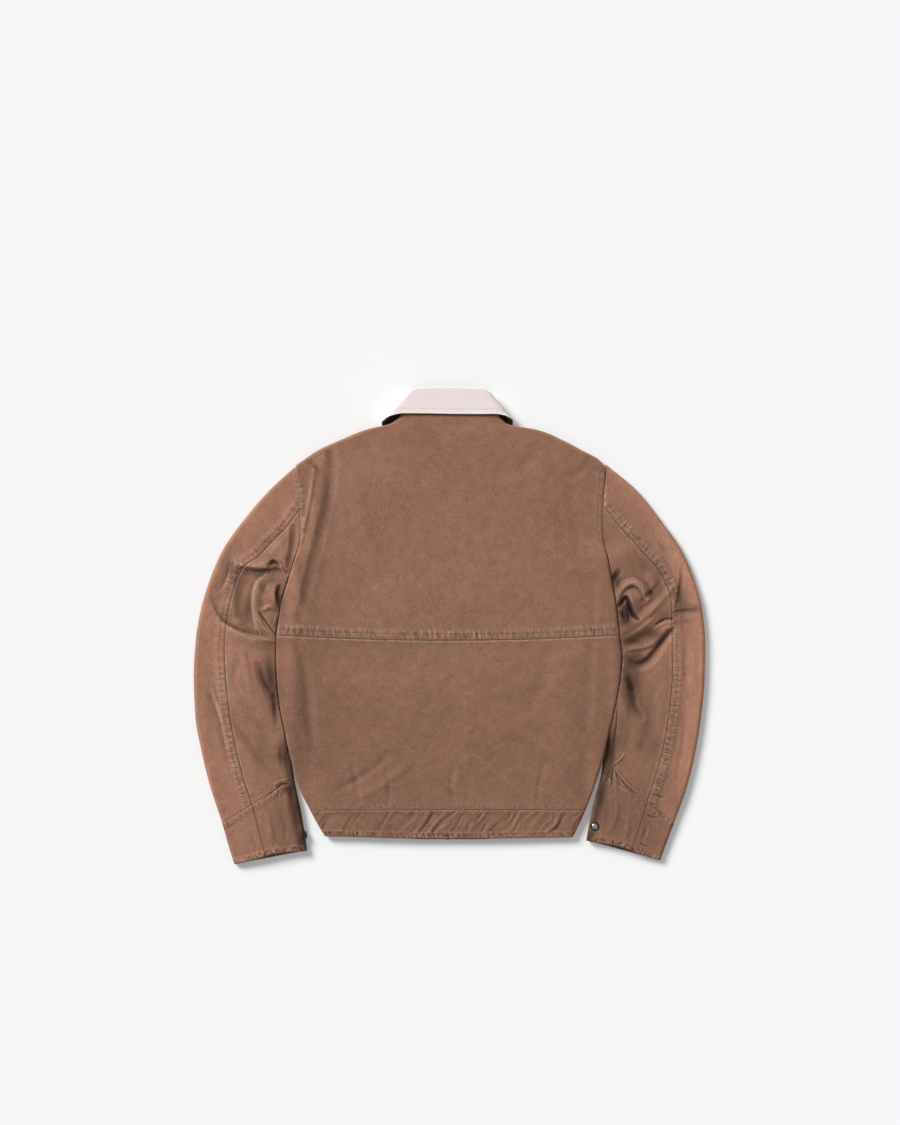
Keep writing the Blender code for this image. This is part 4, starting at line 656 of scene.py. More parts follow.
def front_grid(side, y, flat_shares, tail_shares):
    """A front, from its inner edge to its side or armhole seam."""
    sign = SIDES[side]
    profile = side_profile(side, y)
    row, _, _, turn, tail = profile
    end_reach, end_height, _ = back_side(profile, (row.roll * turn + tail)[:, None])
    base = lift(y)
    under_tuck = smoothstep(110, 150, row.turn) * WALL
    reach = mix(armhole_reach(side, y) - ARMHOLE_SEAM, end_reach[:, 0] + under_tuck, row.rise)
    rim = WALL * np.maximum(0, np.cos(turn)) + SPREAD_RIM * (row.spread - 1)
    rise = np.maximum(0, row.rise * (end_height[:, 0] - rim - SEAM - base))
    corner = np.minimum(FRONT_CORNER, rise)
    inner = front_inner(side, y)
    span = np.abs(sign * reach - inner) + rise / 2
    tails = tail_shares[None] * FRONT_TAIL * np.minimum(1.0, 0.8 * span / FRONT_TAIL)[:, None]
    reach, rise, corner, base = [v[:, None] for v in (reach, rise, corner, base)]
    arc = corner * math.pi / 2
    angle = np.clip((tails - rise + corner) / np.maximum(corner, 1e-6), 0, math.pi / 2)
    over = np.maximum(0, tails - rise + corner - arc)
    upright = np.maximum(0, rise - corner - tails)
    x = reach - corner * (1 - np.cos(angle)) - over
    z = base + corner * (1 - np.sin(angle)) + upright
    edge = on_grid(sign * x, y[:, None], z)
    across = mix(inner[:, None], edge[:, :1, 0], flat_shares[None])
    return np.concatenate([on_grid(across, y[:, None], base), edge], axis=1)


def past_side(side, x, y):
    """How far a place lies outside the body's side in plan."""
    return np.abs(x) - np.abs(getattr(body_at(y), side))


def sleeve_grid(side, t, around, inset=0.0, creases=()):
    """Points round a sleeve. around runs 0..1 round the outer fold from the underside up,
    1..2 over the seen side, 2..3 round the inner fold and 3..4 back along the underside."""
    ring = Ring(*[c[:, None] for c in ring_at(side, t)])
    ahead = Ring(*[c[:, None] for c in ring_at(side, t - 0.1)])
    run_x, run_y = ring.in_x - ring.out_x, ring.in_y - ring.out_y
    length = np.hypot(run_x, run_y)
    along_x, along_y = run_x / length, run_y / length
    out_r, in_r = ring.out_z / 2, ring.in_z / 2
    around = np.mod(around, 4)
    part = around - np.floor(around)
    quarter = np.floor(around).astype(int)
    angle = math.pi * part
    cases = [quarter == 0, quarter == 1, quarter == 2]
    top = mix(ring.out_z, ring.in_z, part)
    top = top + (ring.mid_z - (ring.out_z + ring.in_z) / 2) * np.sin(angle) ** 2
    distance = np.select(cases, [
        out_r - (out_r - inset) * np.sin(angle), mix(out_r, length - in_r, part),
        length - in_r + (in_r - inset) * np.sin(angle)], mix(length - in_r, out_r, part))
    height = np.select(cases, [
        out_r - (out_r - inset) * np.cos(angle), top,
        in_r + (in_r - inset) * np.cos(angle)], inset + 0 * part)
    share = distance / length
    bow = ring.bow * 4 * share * (1 - share) * -SIDES[side]
    x = ring.out_x + along_x * distance - along_y * bow
    y = ring.out_y + along_y * distance + along_x * bow
    seen = np.where(quarter == 1, np.sqrt(np.abs(np.sin(angle))), 0)
    low_down = smoothstep(128, 100, y)
    seen = seen * np.maximum(smoothstep(0.0, 0.25, t)[:, None], low_down)
    outside = past_side(side, x, y)
    flush = smoothstep(1.1, 0.1, t)[:, None] * np.sin(angle) ** 0.6
    height = np.where(quarter == 1, mix(height, np.maximum(height, FLUSH_HEIGHT), flush), height)
    covered = smoothstep(-1, -10, past_side(side, ring.in_x, ring.in_y))
    beside = covered * smoothstep(55, 8, outside) * low_down
    raised = np.maximum(height, BESIDE_BODY)
    height = np.where(quarter == 1, mix(height, raised, beside), height)
    limit = mix(ARMHOLE_CLEAR, TUCK_CLEAR, smoothstep(125, 104, y))
    limit = limit + np.maximum(0, outside - np.where(y > 112, 0.1, 0.35)) * CLEAR_SLOPE
    limit = np.where(y > SHOULDER_Y, NO_LIMIT, limit)
    folds = crease_height(creases, x, y) * seen
    folded = np.maximum(np.minimum(height + folds, limit) - inset, LOWEST_SEEN)
    height = np.where(quarter == 1, folded, height)
    under = np.where(quarter == 3, np.sin(angle), 0)
    height = height + under * crease_height(UNDERSIDE_CREASES, x, y)
    back_x, back_y = ahead.in_x - ring.in_x, ahead.in_y - ring.in_y
    back = MOUTH_OPEN * smoothstep(12.2, 13, t)[:, None] * np.where(
        quarter == 1, np.sin(angle) * smoothstep(0.02, 0.6, part), 0)
    back = back / np.maximum(np.hypot(back_x, back_y), 1e-6)
    points = np.stack([x + back * back_x, y + back * back_y, height], axis=2)
    shown = np.where(quarter == 1, smoothstep(-1, 5, outside), np.where(quarter == 0, 0.5, 0))
    return points, shown, np.where(quarter == 1, folds, 0)


def collar_frame(side, t):
    table = COLLAR[side]
    row = Collar(*curve(np.arange(len(table), dtype=float), table, t).T)
    turn = np.radians(row.turn)
    flat = np.zeros(len(t))
    inward = np.stack([row.edge_x - row.fold_x, row.edge_y - row.fold_y, flat], axis=1)
    length = np.linalg.norm(inward, axis=1)
    inward /= length[:, None]
    sideways = np.stack([inward[:, 1], -inward[:, 0], flat], axis=1) * -SIDES[side]
    up = np.stack([flat, flat, flat + 1], axis=1)
    outward = sideways * np.sin(turn)[:, None] + up * np.cos(turn)[:, None]
    centre = np.stack([row.fold_x, row.fold_y,
                       COLLAR_MID + (COLLAR_MID - COLLAR_ROLL) * np.cos(turn)], axis=1)
    centre += inward * COLLAR_ROLL - sideways * COLLAR_ROLL * np.sin(turn)[:, None]
    neck = np.stack([row.neck_x, row.neck_y], axis=1)
    return centre, inward, outward, length, neck, np.abs(np.sin(turn))


def leaf_grid(side, t, turns, shares):
    centre, inward, outward, length, _, _ = collar_frame(side, t)
    angle = (math.pi * turns)[None, :, None]
    rolled = centre[:, None] - COLLAR_ROLL * (
        outward[:, None] * np.cos(angle) + inward[:, None] * np.sin(angle))
    reach = ((length - COLLAR_ROLL)[:, None] * shares)[:, :, None]
    leaf = centre[:, None] + outward[:, None] * COLLAR_ROLL + inward[:, None] * reach
    return np.concatenate([rolled, leaf], axis=1)


def undercollar_grid(side, t, shares):
    centre, inward, outward, length, _, sideways = collar_frame(side, t)
    depth = COLLAR_ROLL - LEAF_WALL - UNDERCOLLAR_GAP - UNDERCOLLAR_DEEPER * sideways
    start = UNDERCOLLAR_START + UNDERCOLLAR_SIDE * sideways
    end = length - COLLAR_ROLL + UNDERCOLLAR_SHOWS
    reach = mix(start[:, None], end[:, None], shares[None])[:, :, None]
    return (centre + outward * depth[:, None])[:, None] + inward[:, None] * reach


def stand_grid(side, t, shares):
    centre, inward, outward, _, neck, sideways = collar_frame(side, t)
    sunk = FOLD_SEAM + SIDE_SEAM_SUNK * sideways - FRONT_SEAM_RISE * smoothstep(9, 10, t)
    start = centre - outward * COLLAR_ROLL + inward * sunk[:, None]
    end = np.concatenate([neck, start[:, 2:]], axis=1)
    return mix(start[:, None], end[:, None], shares[None, :, None])


def graded(start, end, coarse, fine=0.0, at_start=0.0, at_end=0.0):
    """Places from start to end, closer together over the given lengths at either end."""
    length = abs(end - start)
    places = [0.0]
    while places[-1] < length:
        here = places[-1]
        near = here < at_start or here > length - at_end
        places.append(here + (fine if near else coarse))
    places = np.array(places) * length / places[-1]
    return start + places * np.sign(end - start)


def blurred(values, reach):
    """Values averaged over a square of neighbours on the grid."""
    for axis in (0, 1):
        width = [(0, 0), (0, 0)]
        width[axis] = (reach + 1, reach)
        run = np.cumsum(np.pad(values, width, mode="edge"), axis=axis)
        size = 2 * reach + 1
        ahead = np.take(run, np.arange(size, run.shape[axis]), axis=axis)
        behind = np.take(run, np.arange(0, run.shape[axis] - size), axis=axis)
        values = (ahead - behind) / size
    return values


class Panel:
    """A cloth panel: a grid of points with the distances to its four edges."""

    def __init__(self, points, seen, folds, flip):
        self.points = points
        self.sign = -1.0 if flip else 1.0
        self.seen = seen
        rows = np.linalg.norm(np.diff(points, axis=0), axis=2)
        columns = np.linalg.norm(np.diff(points, axis=1), axis=2)
        self.from_top = np.concatenate([0 * rows[:1], np.cumsum(rows, axis=0)])
        self.from_start = np.concatenate([0 * columns[:, :1], np.cumsum(columns, axis=1)], axis=1)
        self.to_bottom = self.from_top[-1:] - self.from_top
        self.to_end = self.from_start[:, -1:] - self.from_start
        self.wear, self.shade, self.relief = np.zeros((3, *points.shape[:2]))
        self.fade = np.ones(points.shape[:2])
        self.folds = folds
        self.pucker = np.zeros((*points.shape[:2], 3))

    def edge(self, name):
        """Distance from an edge, square to it, and distance along it."""
        depth = {"top": self.from_top, "bottom": self.to_bottom,
                 "start": self.from_start, "end": self.to_end}[name]
        place = -1 if name in ("bottom", "end") else 0
        axis = 0 if name in ("top", "bottom") else 1
        line = np.take(self.points, [place], axis=axis)
        run = np.take(self.from_start if axis == 0 else self.from_top, [place], axis=axis)
        along = unit(np.gradient(line, axis=1 - axis))
        offset = self.points - line
        lean = (offset * along).sum(2) / np.maximum(np.linalg.norm(offset, axis=2), 1e-6)
        return depth * np.sqrt(1 - np.minimum(lean ** 2, 0.95)), run + depth * lean

    def normals(self):
        across, down = np.gradient(self.points, axis=1), np.gradient(self.points, axis=0)
        return unit(np.cross(across, down) * self.sign)

    def tone(self):
        """Painted shade and painted light from the zones on the upper side, with a few of the
        cloth's own paler patches and rubbed marks.
        """
        x, y, z = (self.points[:, :, k] for k in range(3))
        above = smoothstep(1.5, 4.0, z)
        for at_x, at_y, wide, long, amount in FADE_AND_PAINTED_LIGHT_ZONES:
            zone = np.exp(-((x - at_x) / wide) ** 2 - ((y - at_y) / long) ** 2)
            self.fade *= 1 + amount * above * zone

    def raise_cloth(self):
        """Moves the points out by the relief gathered so far."""
        self.points = self.points + self.normals() * self.relief[:, :, None]

    def finish(self, worn=0.5, dark=0.6):
        """The last steps for a panel that shows: its rubbed paleness with painted shade and painted
        highlight, its painted light and shade zones, and its relief.
        """
        self.rubbing_and_painted_shade(worn, dark)
        self.tone()
        self.raise_cloth()

    def rubbing_and_painted_shade(self, worn=0.5, dark=0.6):
        """Paler where the cloth stands proud, partly rubbed and partly painted highlight, and
        painted shade down in its creases.
        """
        form = self.folds + self.relief
        close, wide = form - blurred(form, 2), form - blurred(form, 7)
        self.wear += (worn * (smoothstep(0.05, 0.45, close) + 0.45 * smoothstep(0.3, 1.8, wide))
                      * self.seen)
        self.shade += (dark * (smoothstep(-0.08, -0.6, close) + 0.7 * smoothstep(-0.3, -2.2, wide))
                       * self.seen)
        # painted shade deep in the big folds, and painted highlight on their crests
        self.shade += 0.75 * smoothstep(-0.6, -6.0, self.folds) * self.seen
        self.wear += 0.18 * smoothstep(0.5, 4.0, self.folds) * self.seen


def plain_panel(points, flip):
    """A panel that is open to the light all over and has no folds."""
    even = np.ones(points.shape[:2])
    return Panel(points, even, 0 * even, flip)


WAVE = 9.5  # length of the broad waves that a washed seam draws its cloth into

# The seams: edge, width and height of the thick band, height, pitch and slant of the puckers,
# where stitches sink in, how worn, the noise's seed, how far the rim rolls down, and how
# strongly the fine puckers show.
SEAMS = {
    "upper_back": [("bottom", 14, 0.45, 0.42, 8, 0.1, (1.8, 9.5), 0.9, 90, 0.5, 1.3)],
    "lower_back": [("top", 4, 0, 0.15, 6, 0.3, (), 1.1, 95, 0.35, 0.5),
                   ("bottom", 9, 0, 0.30, 6, 0.6, (), 0.15, 97, 0.3, 0.5)],
    "back_waistband": [("top", 5, 0.25, 0.25, 5, 0.9, (2.0,), 0.8, 110, 0.5, 0.8),
                       ("bottom", 8.5, 0.4, 0.25, 4.4, 0.4, (7.4,), 0.9, 115, 0.9, 2)],
    "front_waistband": [("bottom", 9, 0, 0, 5, 0.9, (), 0.7, 121, 0),
                        ("top", 4, 0, 0, 5, 0.9, (), 0.5, 122, 0)],
    "left_elbow": [("end", 13, 0.4, 0.35, 5.8, 0, (1.8, 7.6), 0.9, 133)],
    "right_elbow": [("end", 13, 0.4, 0.35, 5.8, 0, (1.8, 7.6), 0.9, 133, 0.5, 1.3)],
    "upper_sleeve": [("top", 4, 0, 0.15, 5, 0, (), 0.3, 136, 0.2, 0.5),
                     ("bottom", 5, 0, 0.2, 6, 0, (), 0.25, 138, 0.5, 0.5)],
    "under_sleeve": [("start", 4, -0.15, 0.12, 5.4, 0, (), 0.9, 143, 0.1, 0.6),
                     ("top", 4, 0, 0.15, 5, 0, (), 0.3, 137, 0.2, 0.5),
                     ("bottom", 5, 0, 0.25, 5, 0.3, (), 0.25, 148, 0.5, 0.6)],
    "outer_cuff": [("top", 8, 0.35, 0.35, 5, 0.2, (2.0, 6.0), 0.8, 153, 0.5, 1.3),
                   ("bottom", 8, 0.35, 0.3, 5.6, 0.2, (7.2,), 0.9, 155, 0.7, 2.4)],
    "inner_cuff": [("top", 8, 0.35, 0.35, 5, 0.2, (2.0, 6.0), 0.8, 163, 0.5, 1.3),
                   ("bottom", 8, 0.35, 0.3, 5.6, 0.2, (7.2,), 0.9, 165, 0.7, 2.4)],
}


def add_seam(panel, edge, band, thick, pucker, pitch, slant, stitches, worn, seed, rolled=0.5,
             strength=1.0):
    """A felled seam along an edge: its thick band, stitch grooves, puckers and worn rim."""
    pucker = pucker * bpy.context.scene.jacket_sizes.pucker
    depth, along = panel.edge(edge)
    raised = thick * (1 - smoothstep(band, band + 4, depth))
    raised -= rolled * (1 - smoothstep(0, 1.6, depth))
    phase = (along + slant * depth) / WAVE + 0.7 * noise(along, 0 * along, 34, seed)
    uneven = 0.55 + 0.45 * noise(along, 0 * along + 9, 22, seed + 1)
    window = smoothstep(-1, band * 0.35, depth) * (1 - smoothstep(band * 0.6, band * 1.7, depth))
    ripple = np.cos(2 * math.pi * phase) * uneven * window
    groove = sum((bell(depth - place, 0.9) for place in stitches), np.zeros(depth.shape))
    panel.relief += raised + pucker * ripple - 0.3 * groove
    panel.wear += worn * bell(depth - 1, 1.3) * (0.75 + 0.5 * noise(along, depth, 7, seed + 2))
    panel.wear += 0.12 * worn * (1 - smoothstep(band * 0.9, band * 1.3, depth))
    # painted shade in the stitch grooves
    panel.shade += 0.28 * groove
    amount = strength * (1 - smoothstep(band * 0.75, band * 1.35, depth)) * smoothstep(
        -1, 1.5, depth) * (0.7 + 0.4 * noise(along, 0 * along + 3, 45, seed + 4))
    ribs = np.stack([2 * (along + slant * depth) / pitch + 37 * seed, depth / band, amount],
                    axis=2)
    stronger = (amount > panel.pucker[:, :, 2])[:, :, None]
    panel.pucker = np.where(stronger, ribs, panel.pucker)


def add_seams(panel, name):
    for seam in SEAMS[name]:
        add_seam(panel, *seam)


def add_softness(panel, amount=1.0, seed=50):
    """Small unevenness of washed cloth, and paler rubbed patches at random on its seen side."""
    x, y = panel.points[:, :, 0], panel.points[:, :, 1]
    broad = 0.55 * noise(x, y, 62, seed) + 0.30 * noise(x, y, 27, seed + 1)
    small = 0.14 * noise(x, y, 11, seed + 2)
    panel.relief += (broad + small) * amount * panel.seen
    panel.wear += 0.10 * np.clip(noise(x, y, 16, seed + 3), 0, 1) * panel.seen


def mesh_of(name, points, faces, smooth=True):
    """A mesh from its points in millimetres and its faces."""
    mesh = bpy.data.meshes.new(name)
    mesh.from_pydata((np.asarray(points) * MM).tolist(), [], faces)
    if smooth:
        mesh.shade_smooth()
    return mesh


def place_object(name, data):
    thing = bpy.data.objects.new(name, data)
    bpy.context.scene.collection.objects.link(thing)
    return thing


def make_piece(name, mesh, finish, slot, node=None):
    """A piece that rides where the node it replaces does, or on the jacket if it replaces none."""
    piece = place_object(name, mesh)
    mesh.materials.append(material_named(finish))
    bodies = frame["record"]["behaviour"]["bodies"]
    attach(piece, next((body for body, nodes in bodies.items() if node in nodes), "jacket"))
    if node:
        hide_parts(node)
    return piece


def grid_mesh(name, panel):
    rows, columns = panel.points.shape[:2]
    index = np.arange(rows * columns).reshape(rows, columns)
    quads = np.stack([index[:-1, :-1], index[:-1, 1:], index[1:, 1:], index[1:, :-1]], axis=2)
    quads = quads.reshape(-1, 4)
    if panel.sign < 0:
        quads = quads[:, ::-1]
    mesh = mesh_of(name, panel.points.reshape(-1, 3), quads.tolist())
    flat = np.stack([panel.from_start.ravel(), panel.from_top.ravel()], axis=1) * MM
    cloth = mesh.uv_layers.new(name="cloth")
    cloth.uv.foreach_set("vector", flat[quads.ravel()].astype(np.float32).ravel())
    for label in ("wear", "shade", "fade"):
        tone = mesh.attributes.new(label, "FLOAT", "POINT")
        values = np.clip(getattr(panel, label), 0, 1.5).astype(np.float32)
        tone.data.foreach_set("value", values.ravel())
    ribs = mesh.attributes.new("pucker", "FLOAT_VECTOR", "POINT")
    ribs.data.foreach_set("vector", panel.pucker.astype(np.float32).ravel())
    return mesh


def make_cloth(name, panel, node, wall=WALL, finish="washed_canvas",
               slot="canvas"):
    """A thin shell on one node's form."""
    piece = make_piece(name, grid_mesh(name, panel), finish, slot, node)
    shell = piece.modifiers.new("Thickness", "SOLIDIFY")
    shell.thickness = wall * MM
    shell.offset = -1


# ---------------------------------------------------------------- materials


class Finish:
    """A material in the making. Its methods add a node each and give back its output."""

    def __init__(self, name):
        self.material = bpy.data.materials.new(name)
        self.material.use_nodes = True
        self.tree = self.material.node_tree
        self.place = self.node("TexCoord", "Object")

    def fill(self, node, sockets):
        for key, value in sockets.items():
            if isinstance(value, bpy.types.NodeSocket):
                self.tree.links.new(value, node.inputs[key])
            else:
                node.inputs[key].default_value = value

    def node(self, kind, output, sockets=None, **settings):
        node = self.tree.nodes.new("ShaderNode" + kind)
        for key, value in settings.items():
            setattr(node, key, value)
        self.fill(node, sockets or {})
        return node.outputs[output]

    def maths(self, operation, first, second=0.0, third=0.0):
        return self.node("Math", 0, {0: first, 1: second, 2: third}, operation=operation)

    def times(self, first, second):
        return self.maths("MULTIPLY", first, second)

    def times_plus(self, first, second, third):
        return self.maths("MULTIPLY_ADD", first, second, third)

    def wave(self, place, pitch):
        return self.maths("SINE", self.times(place, 2 * math.pi / (pitch * MM)))

    def blend(self, share, first, second, mode="MIX"):
        return self.node("Mix", 2, {0: share, 6: first, 7: second}, data_type="RGBA",
                         blend_type=mode)

    def noise(self, place, scale, detail=4.0, roughness=0.55):
        return self.node("TexNoise", "Fac", {
            "Vector": place, "Scale": scale, "Detail": detail, "Roughness": roughness})

    def streaks(self, place, scale):
        """Noise drawn out along one axis."""
        return self.noise(self.node("Mapping", 0, {0: place, "Scale": scale}), 1.0, 3.0)

    def spread_out(self, value, low, high):
        return self.node("MapRange", "Result", {
            "Value": value, "From Min": low, "From Max": high, "To Min": 0.0, "To Max": 1.0})

    def tone(self, label, output="Fac"):
        return self.node("Attribute", output, attribute_name=label)

    def parts(self, vector):
        return self.node("SeparateXYZ", slice(None), {0: vector})

    def bump(self, strength, distance, height, **more):
        return self.node("Bump", 0, {
            "Strength": strength, "Distance": distance, "Height": height, **more})

    def done(self, sockets):
        self.fill(self.tree.nodes["Principled BSDF"], sockets)
        return self.material


def scaled(colour, amount):
    return tuple(min(1.0, amount * c) for c in colour[:3]) + (1.0,)


def cloth_material(name, tones, pitch, cord=0.0, grain=1.0, sheen=0.08, roughness=0.88,
                   frayed=True):
    """Woven cotton: threads, slubs, mottled dye, puckered seams, paler where it is rubbed, with
    painted highlight where it stands proud, and painted shade in its folds and pucker troughs.
    tones are the dark, the light and the worn colour."""
    make = Finish(name)
    dark, light, worn = tones
    cloth = make.node("UVMap", "UV", uv_map="cloth")
    across, along, _ = make.parts(cloth)
    weave = make.times(make.wave(across, pitch), make.wave(along, pitch))
    if cord:
        weave = make.maths("ADD", make.times(weave, 0.4), make.wave(across, cord))
    slub = make.streaks(cloth, (900.0, 90.0, 1.0))
    weft_slub = make.streaks(cloth, (80.0, 800.0, 1.0))
    broad = make.noise(make.place, 9.0, 5.0, 0.6)
    blotch = make.noise(make.place, 70.0, 5.0, 0.7)
    speck = make.noise(make.place, 480.0, 3.0, 0.6)
    weights = ((broad, 0.22), (blotch, 0.34), (speck, 0.50 * grain), (slub, 0.42 * grain),
               (weft_slub, 0.36 * grain))
    total = 0.0
    for value, weight in weights:
        total = make.times_plus(value, weight, total)
    middle = sum(weight for _, weight in weights) / 2
    tone = make.spread_out(total, middle - 0.20, middle + 0.20)
    colour = make.blend(tone, dark, light)

    rib_x, rib_y, strength = make.parts(make.tone("pucker", "Vector"))
    flat = make.node("CombineXYZ", 0, {0: rib_x, 1: rib_y})
    ribs = make.noise(flat, 0.95, 2.0, 0.5)
    ridge = make.times(make.spread_out(ribs, 0.50, 0.68), strength)
    gully = make.times(make.spread_out(ribs, 0.50, 0.34), strength)

    # the worn colour on rubbed seams and pucker crests, and as painted highlight where the cloth
    # stands proud
    rubbed = make.times_plus(ridge, 0.75, make.tone("wear"))
    if frayed:
        rubbed = make.times(make.times(rubbed, make.spread_out(speck, 0.28, 0.60)), 0.8)
    colour = make.blend(make.maths("MINIMUM", rubbed, 0.95), colour, worn)
    # painted shade: a darker canvas in the pucker troughs and in the creases the shade attribute
    # marks
    sunk = make.times(make.times_plus(gully, 0.85, make.tone("shade")), 0.55)
    colour = make.blend(make.maths("MINIMUM", sunk, 0.92), colour, scaled(dark, 0.36))
    # painted light and painted shade from the zones, with the cloth's own fading, multiplied in
    colour = make.blend(1.0, colour, make.tone("fade"), "MULTIPLY")
    height = make.times_plus(slub, 0.9, make.times(weave, 0.5))
    fine = make.bump(0.55, 0.00018, make.times_plus(weft_slub, 0.7, height))
    fuzz = make.bump(0.40, 0.0007, make.noise(make.place, 240.0, 4.0, 0.7), Normal=fine)
    return make.done({
        "Base Color": colour, "Roughness": make.times_plus(tone, 0.10, roughness - 0.05),
        "Specular IOR Level": 0.15, "Sheen Weight": sheen, "Sheen Roughness": 0.5,
        "Normal": make.bump(1.0, 0.0016, make.times(ribs, strength), Normal=fuzz)})


def metal_material(name, tones, roughness):
    """Stamped metal with tarnish in patches and fine scratches."""
    make = Finish(name)
    share = make.spread_out(make.noise(make.place, 260.0, 5.0, 0.65), 0.42, 0.68)
    scratches = make.streaks(make.place, (2600.0, 340.0, 340.0))
    return make.done({
        "Base Color": make.blend(share, *tones), "Metallic": 1.0,
        "Roughness": make.times_plus(share, 0.22, roughness),
        "Normal": make.bump(0.25, 0.00008, scratches)})


def thread_material(name, tones):
    make = Finish(name)
    strand = make.spread_out(make.noise(make.place, 900.0, 3.0), 0.3, 0.7)
    return make.done({
        "Base Color": make.blend(strand, *tones), "Roughness": 0.6, "Sheen Weight": 0.3,
        "Normal": make.bump(0.4, 0.0001, make.noise(make.place, 2600.0, 2.0))})


MATERIALS = {}


def material_named(name):
    """The jacket's finishes, each made once, from the colours in the sidebar."""
    if name in MATERIALS:
        return MATERIALS[name]
    colours = bpy.context.scene.jacket_colours
    pitch = bpy.context.scene.jacket_sizes.thread_pitch / MM

    def tones(*parts):
        return [scaled(getattr(colours, part) if isinstance(part, str) else part, amount)
                for part, amount in parts]

    kind, *values = {
        "washed_canvas": (
            cloth_material, tones(("canvas", 0.68), ("canvas", 1.32), ("worn_canvas", 1)), pitch),
        "corded_collar": (
            cloth_material, tones(("collar", 0.93), ("collar", 1.05), ("collar_rim", 1)), pitch,
            1.6, 0.6, 0.15, 0.88, False),
        "dark_corduroy": (
            cloth_material, tones(*(("undercollar", k) for k in (0.7, 1.3, 2.0))), pitch, 2.2),
        "zip_tape_twill": (
            cloth_material, tones(*(("tape", k) for k in (0.8, 1.25, 1.8))), pitch * 0.8),
        "topstitch_thread": (thread_material, tones(("thread", 0.7), ("thread", 1.25))),
        "collar_thread": (thread_material, tones(("collar", 0.644), ("collar", 1.15))),
        "aged_brass": (metal_material, tones(("brass", 1), ((0.22, 0.15, 0.07), 1)), 0.32),
        "snap_silver": (
            metal_material, tones(((0.62, 0.61, 0.59), 1), ((0.34, 0.32, 0.30), 1)), 0.22),
        "snap_black": (
            metal_material, tones(((0.055, 0.050, 0.048), 1), ((0.11, 0.09, 0.08), 1)), 0.38),
    }[name]
    MATERIALS[name] = kind(name, *values)
    return MATERIALS[name]


# ---------------------------------------------------------------- stitching and trim


def line_at(panel, edge, depth, skip=0.0, stop=0.0):
    """Points and normals on a panel at one distance from an edge."""
    distance, _ = panel.edge(edge)
    normals = panel.normals()
    points = panel.points
    if edge in ("start", "end"):
        distance, points = distance.T, points.transpose(1, 0, 2)
        normals = normals.transpose(1, 0, 2)
    if edge in ("bottom", "end"):
        distance, points, normals = distance[::-1], points[::-1], normals[::-1]
    line, outward = [], []
    for k in range(distance.shape[1]):
        column = distance[:, k]
        i = int(np.clip(np.searchsorted(column, depth) - 1, 0, len(column) - 2))
        share = np.clip((depth - column[i]) / max(column[i + 1] - column[i], 1e-6), 0, 1)
        line.append(mix(points[i, k], points[i + 1, k], share))
        outward.append(mix(normals[i, k], normals[i + 1, k], share))
    line, outward = np.array(line), np.array(outward)
    run = run_along(line)
    keep = (run >= skip) & (run <= run[-1] - stop)
    return line[keep], outward[keep]


# A stitch's four rings of four points: place along it, size and rise.
STITCH_RINGS = ((0.0, 0.25, -0.35), (0.18, 0.9, 0.05), (0.82, 0.9, 0.05), (1.0, 0.25, -0.35))


def stitch_run(line, outward, length, gap, radius):
    """Vertices and faces of the stitches along one line, in millimetres."""
    run = run_along(line)
    count = int(run[-1] // (length + gap))
    if count < 1:
        return np.zeros((0, 3)), []
    starts = np.arange(count) * (run[-1] / count)
    points, faces = [], []
    ring_angles = np.arange(4) * math.pi / 2

    def at(values, places):
        return np.stack([np.interp(places, run, values[:, k]) for k in range(3)], axis=1)

    along = unit(at(line, starts + length) - at(line, starts))
    up = unit(at(outward, starts + length / 2))
    across = np.cross(along, up)
    for share, size, rise in STITCH_RINGS:
        centre = at(line, starts + length * share) + up * (rise + radius * 0.35)
        ring = centre[:, None] + radius * size * (
            across[:, None] * np.cos(ring_angles)[None, :, None]
            + up[:, None] * np.sin(ring_angles)[None, :, None] * 0.8)
        points.append(ring)
    points = np.stack(points, axis=1).reshape(-1, 3)
    for base in range(0, len(points), 16):
        for start in range(base, base + 12, 4):
            for k in range(4):
                a, b = start + k, start + (k + 1) % 4
                faces.append((a, b, b + 4, a + 4))
        faces.append((base + 3, base + 2, base + 1, base))
        faces.append((base + 12, base + 13, base + 14, base + 15))
    return points, faces


STITCH_LINES = {"canvas": [], "collar_cloth": []}


def sew(panel, edge, depths, skip=2.0, stop=2.0, slot="canvas"):
    """Notes the stitch lines of a seam for the stitching that is made last."""
    for depth in depths:
        STITCH_LINES[slot].append(line_at(panel, edge, depth, skip, stop))


def joined(parts):
    """The points and faces of several meshes as those of one."""
    points, faces = [], []
    for some, some_faces in parts:
        faces += [tuple(v + len(points) for v in face) for face in some_faces]
        points += list(some)
    return points, faces


def lathe_mesh(name, profile, closed, steps=40):
    """A round piece from its profile of (radius, height), in millimetres."""
    count = len(profile)
    points, faces = [], []
    for k in range(steps):
        angle = 2 * math.pi * k / steps
        points += [(radius * math.cos(angle), radius * math.sin(angle), height)
                   for radius, height in profile]
        here, following = k * count, (k + 1) % steps * count
        for i in range(count if closed else count - 1):
            j = (i + 1) % count
            faces.append((here + i, here + j, following + j, following + i))
    return mesh_of(name, points, faces)


def block(low, high, taper=0.0):
    """Corners and faces of a block, narrower at its top."""
    (x0, y0, z0), (x1, y1, z1) = low, high
    points = [(x0, y0, z0), (x1, y0, z0), (x1, y1, z0), (x0, y1, z0),
              (x0 + taper, y0 + taper, z1), (x1 - taper, y0 + taper, z1),
              (x1 - taper, y1 - taper, z1), (x0 + taper, y1 - taper, z1)]
    faces = [(3, 2, 1, 0), (4, 5, 6, 7), (0, 1, 5, 4), (1, 2, 6, 5), (2, 3, 7, 6), (3, 0, 4, 7)]
    return points, faces


# ---------------------------------------------------------------- pieces


def length_property(name, description, default, low, high):
    return bpy.props.FloatProperty(
        name=name, description=description, default=default, min=low, max=high, unit="LENGTH")


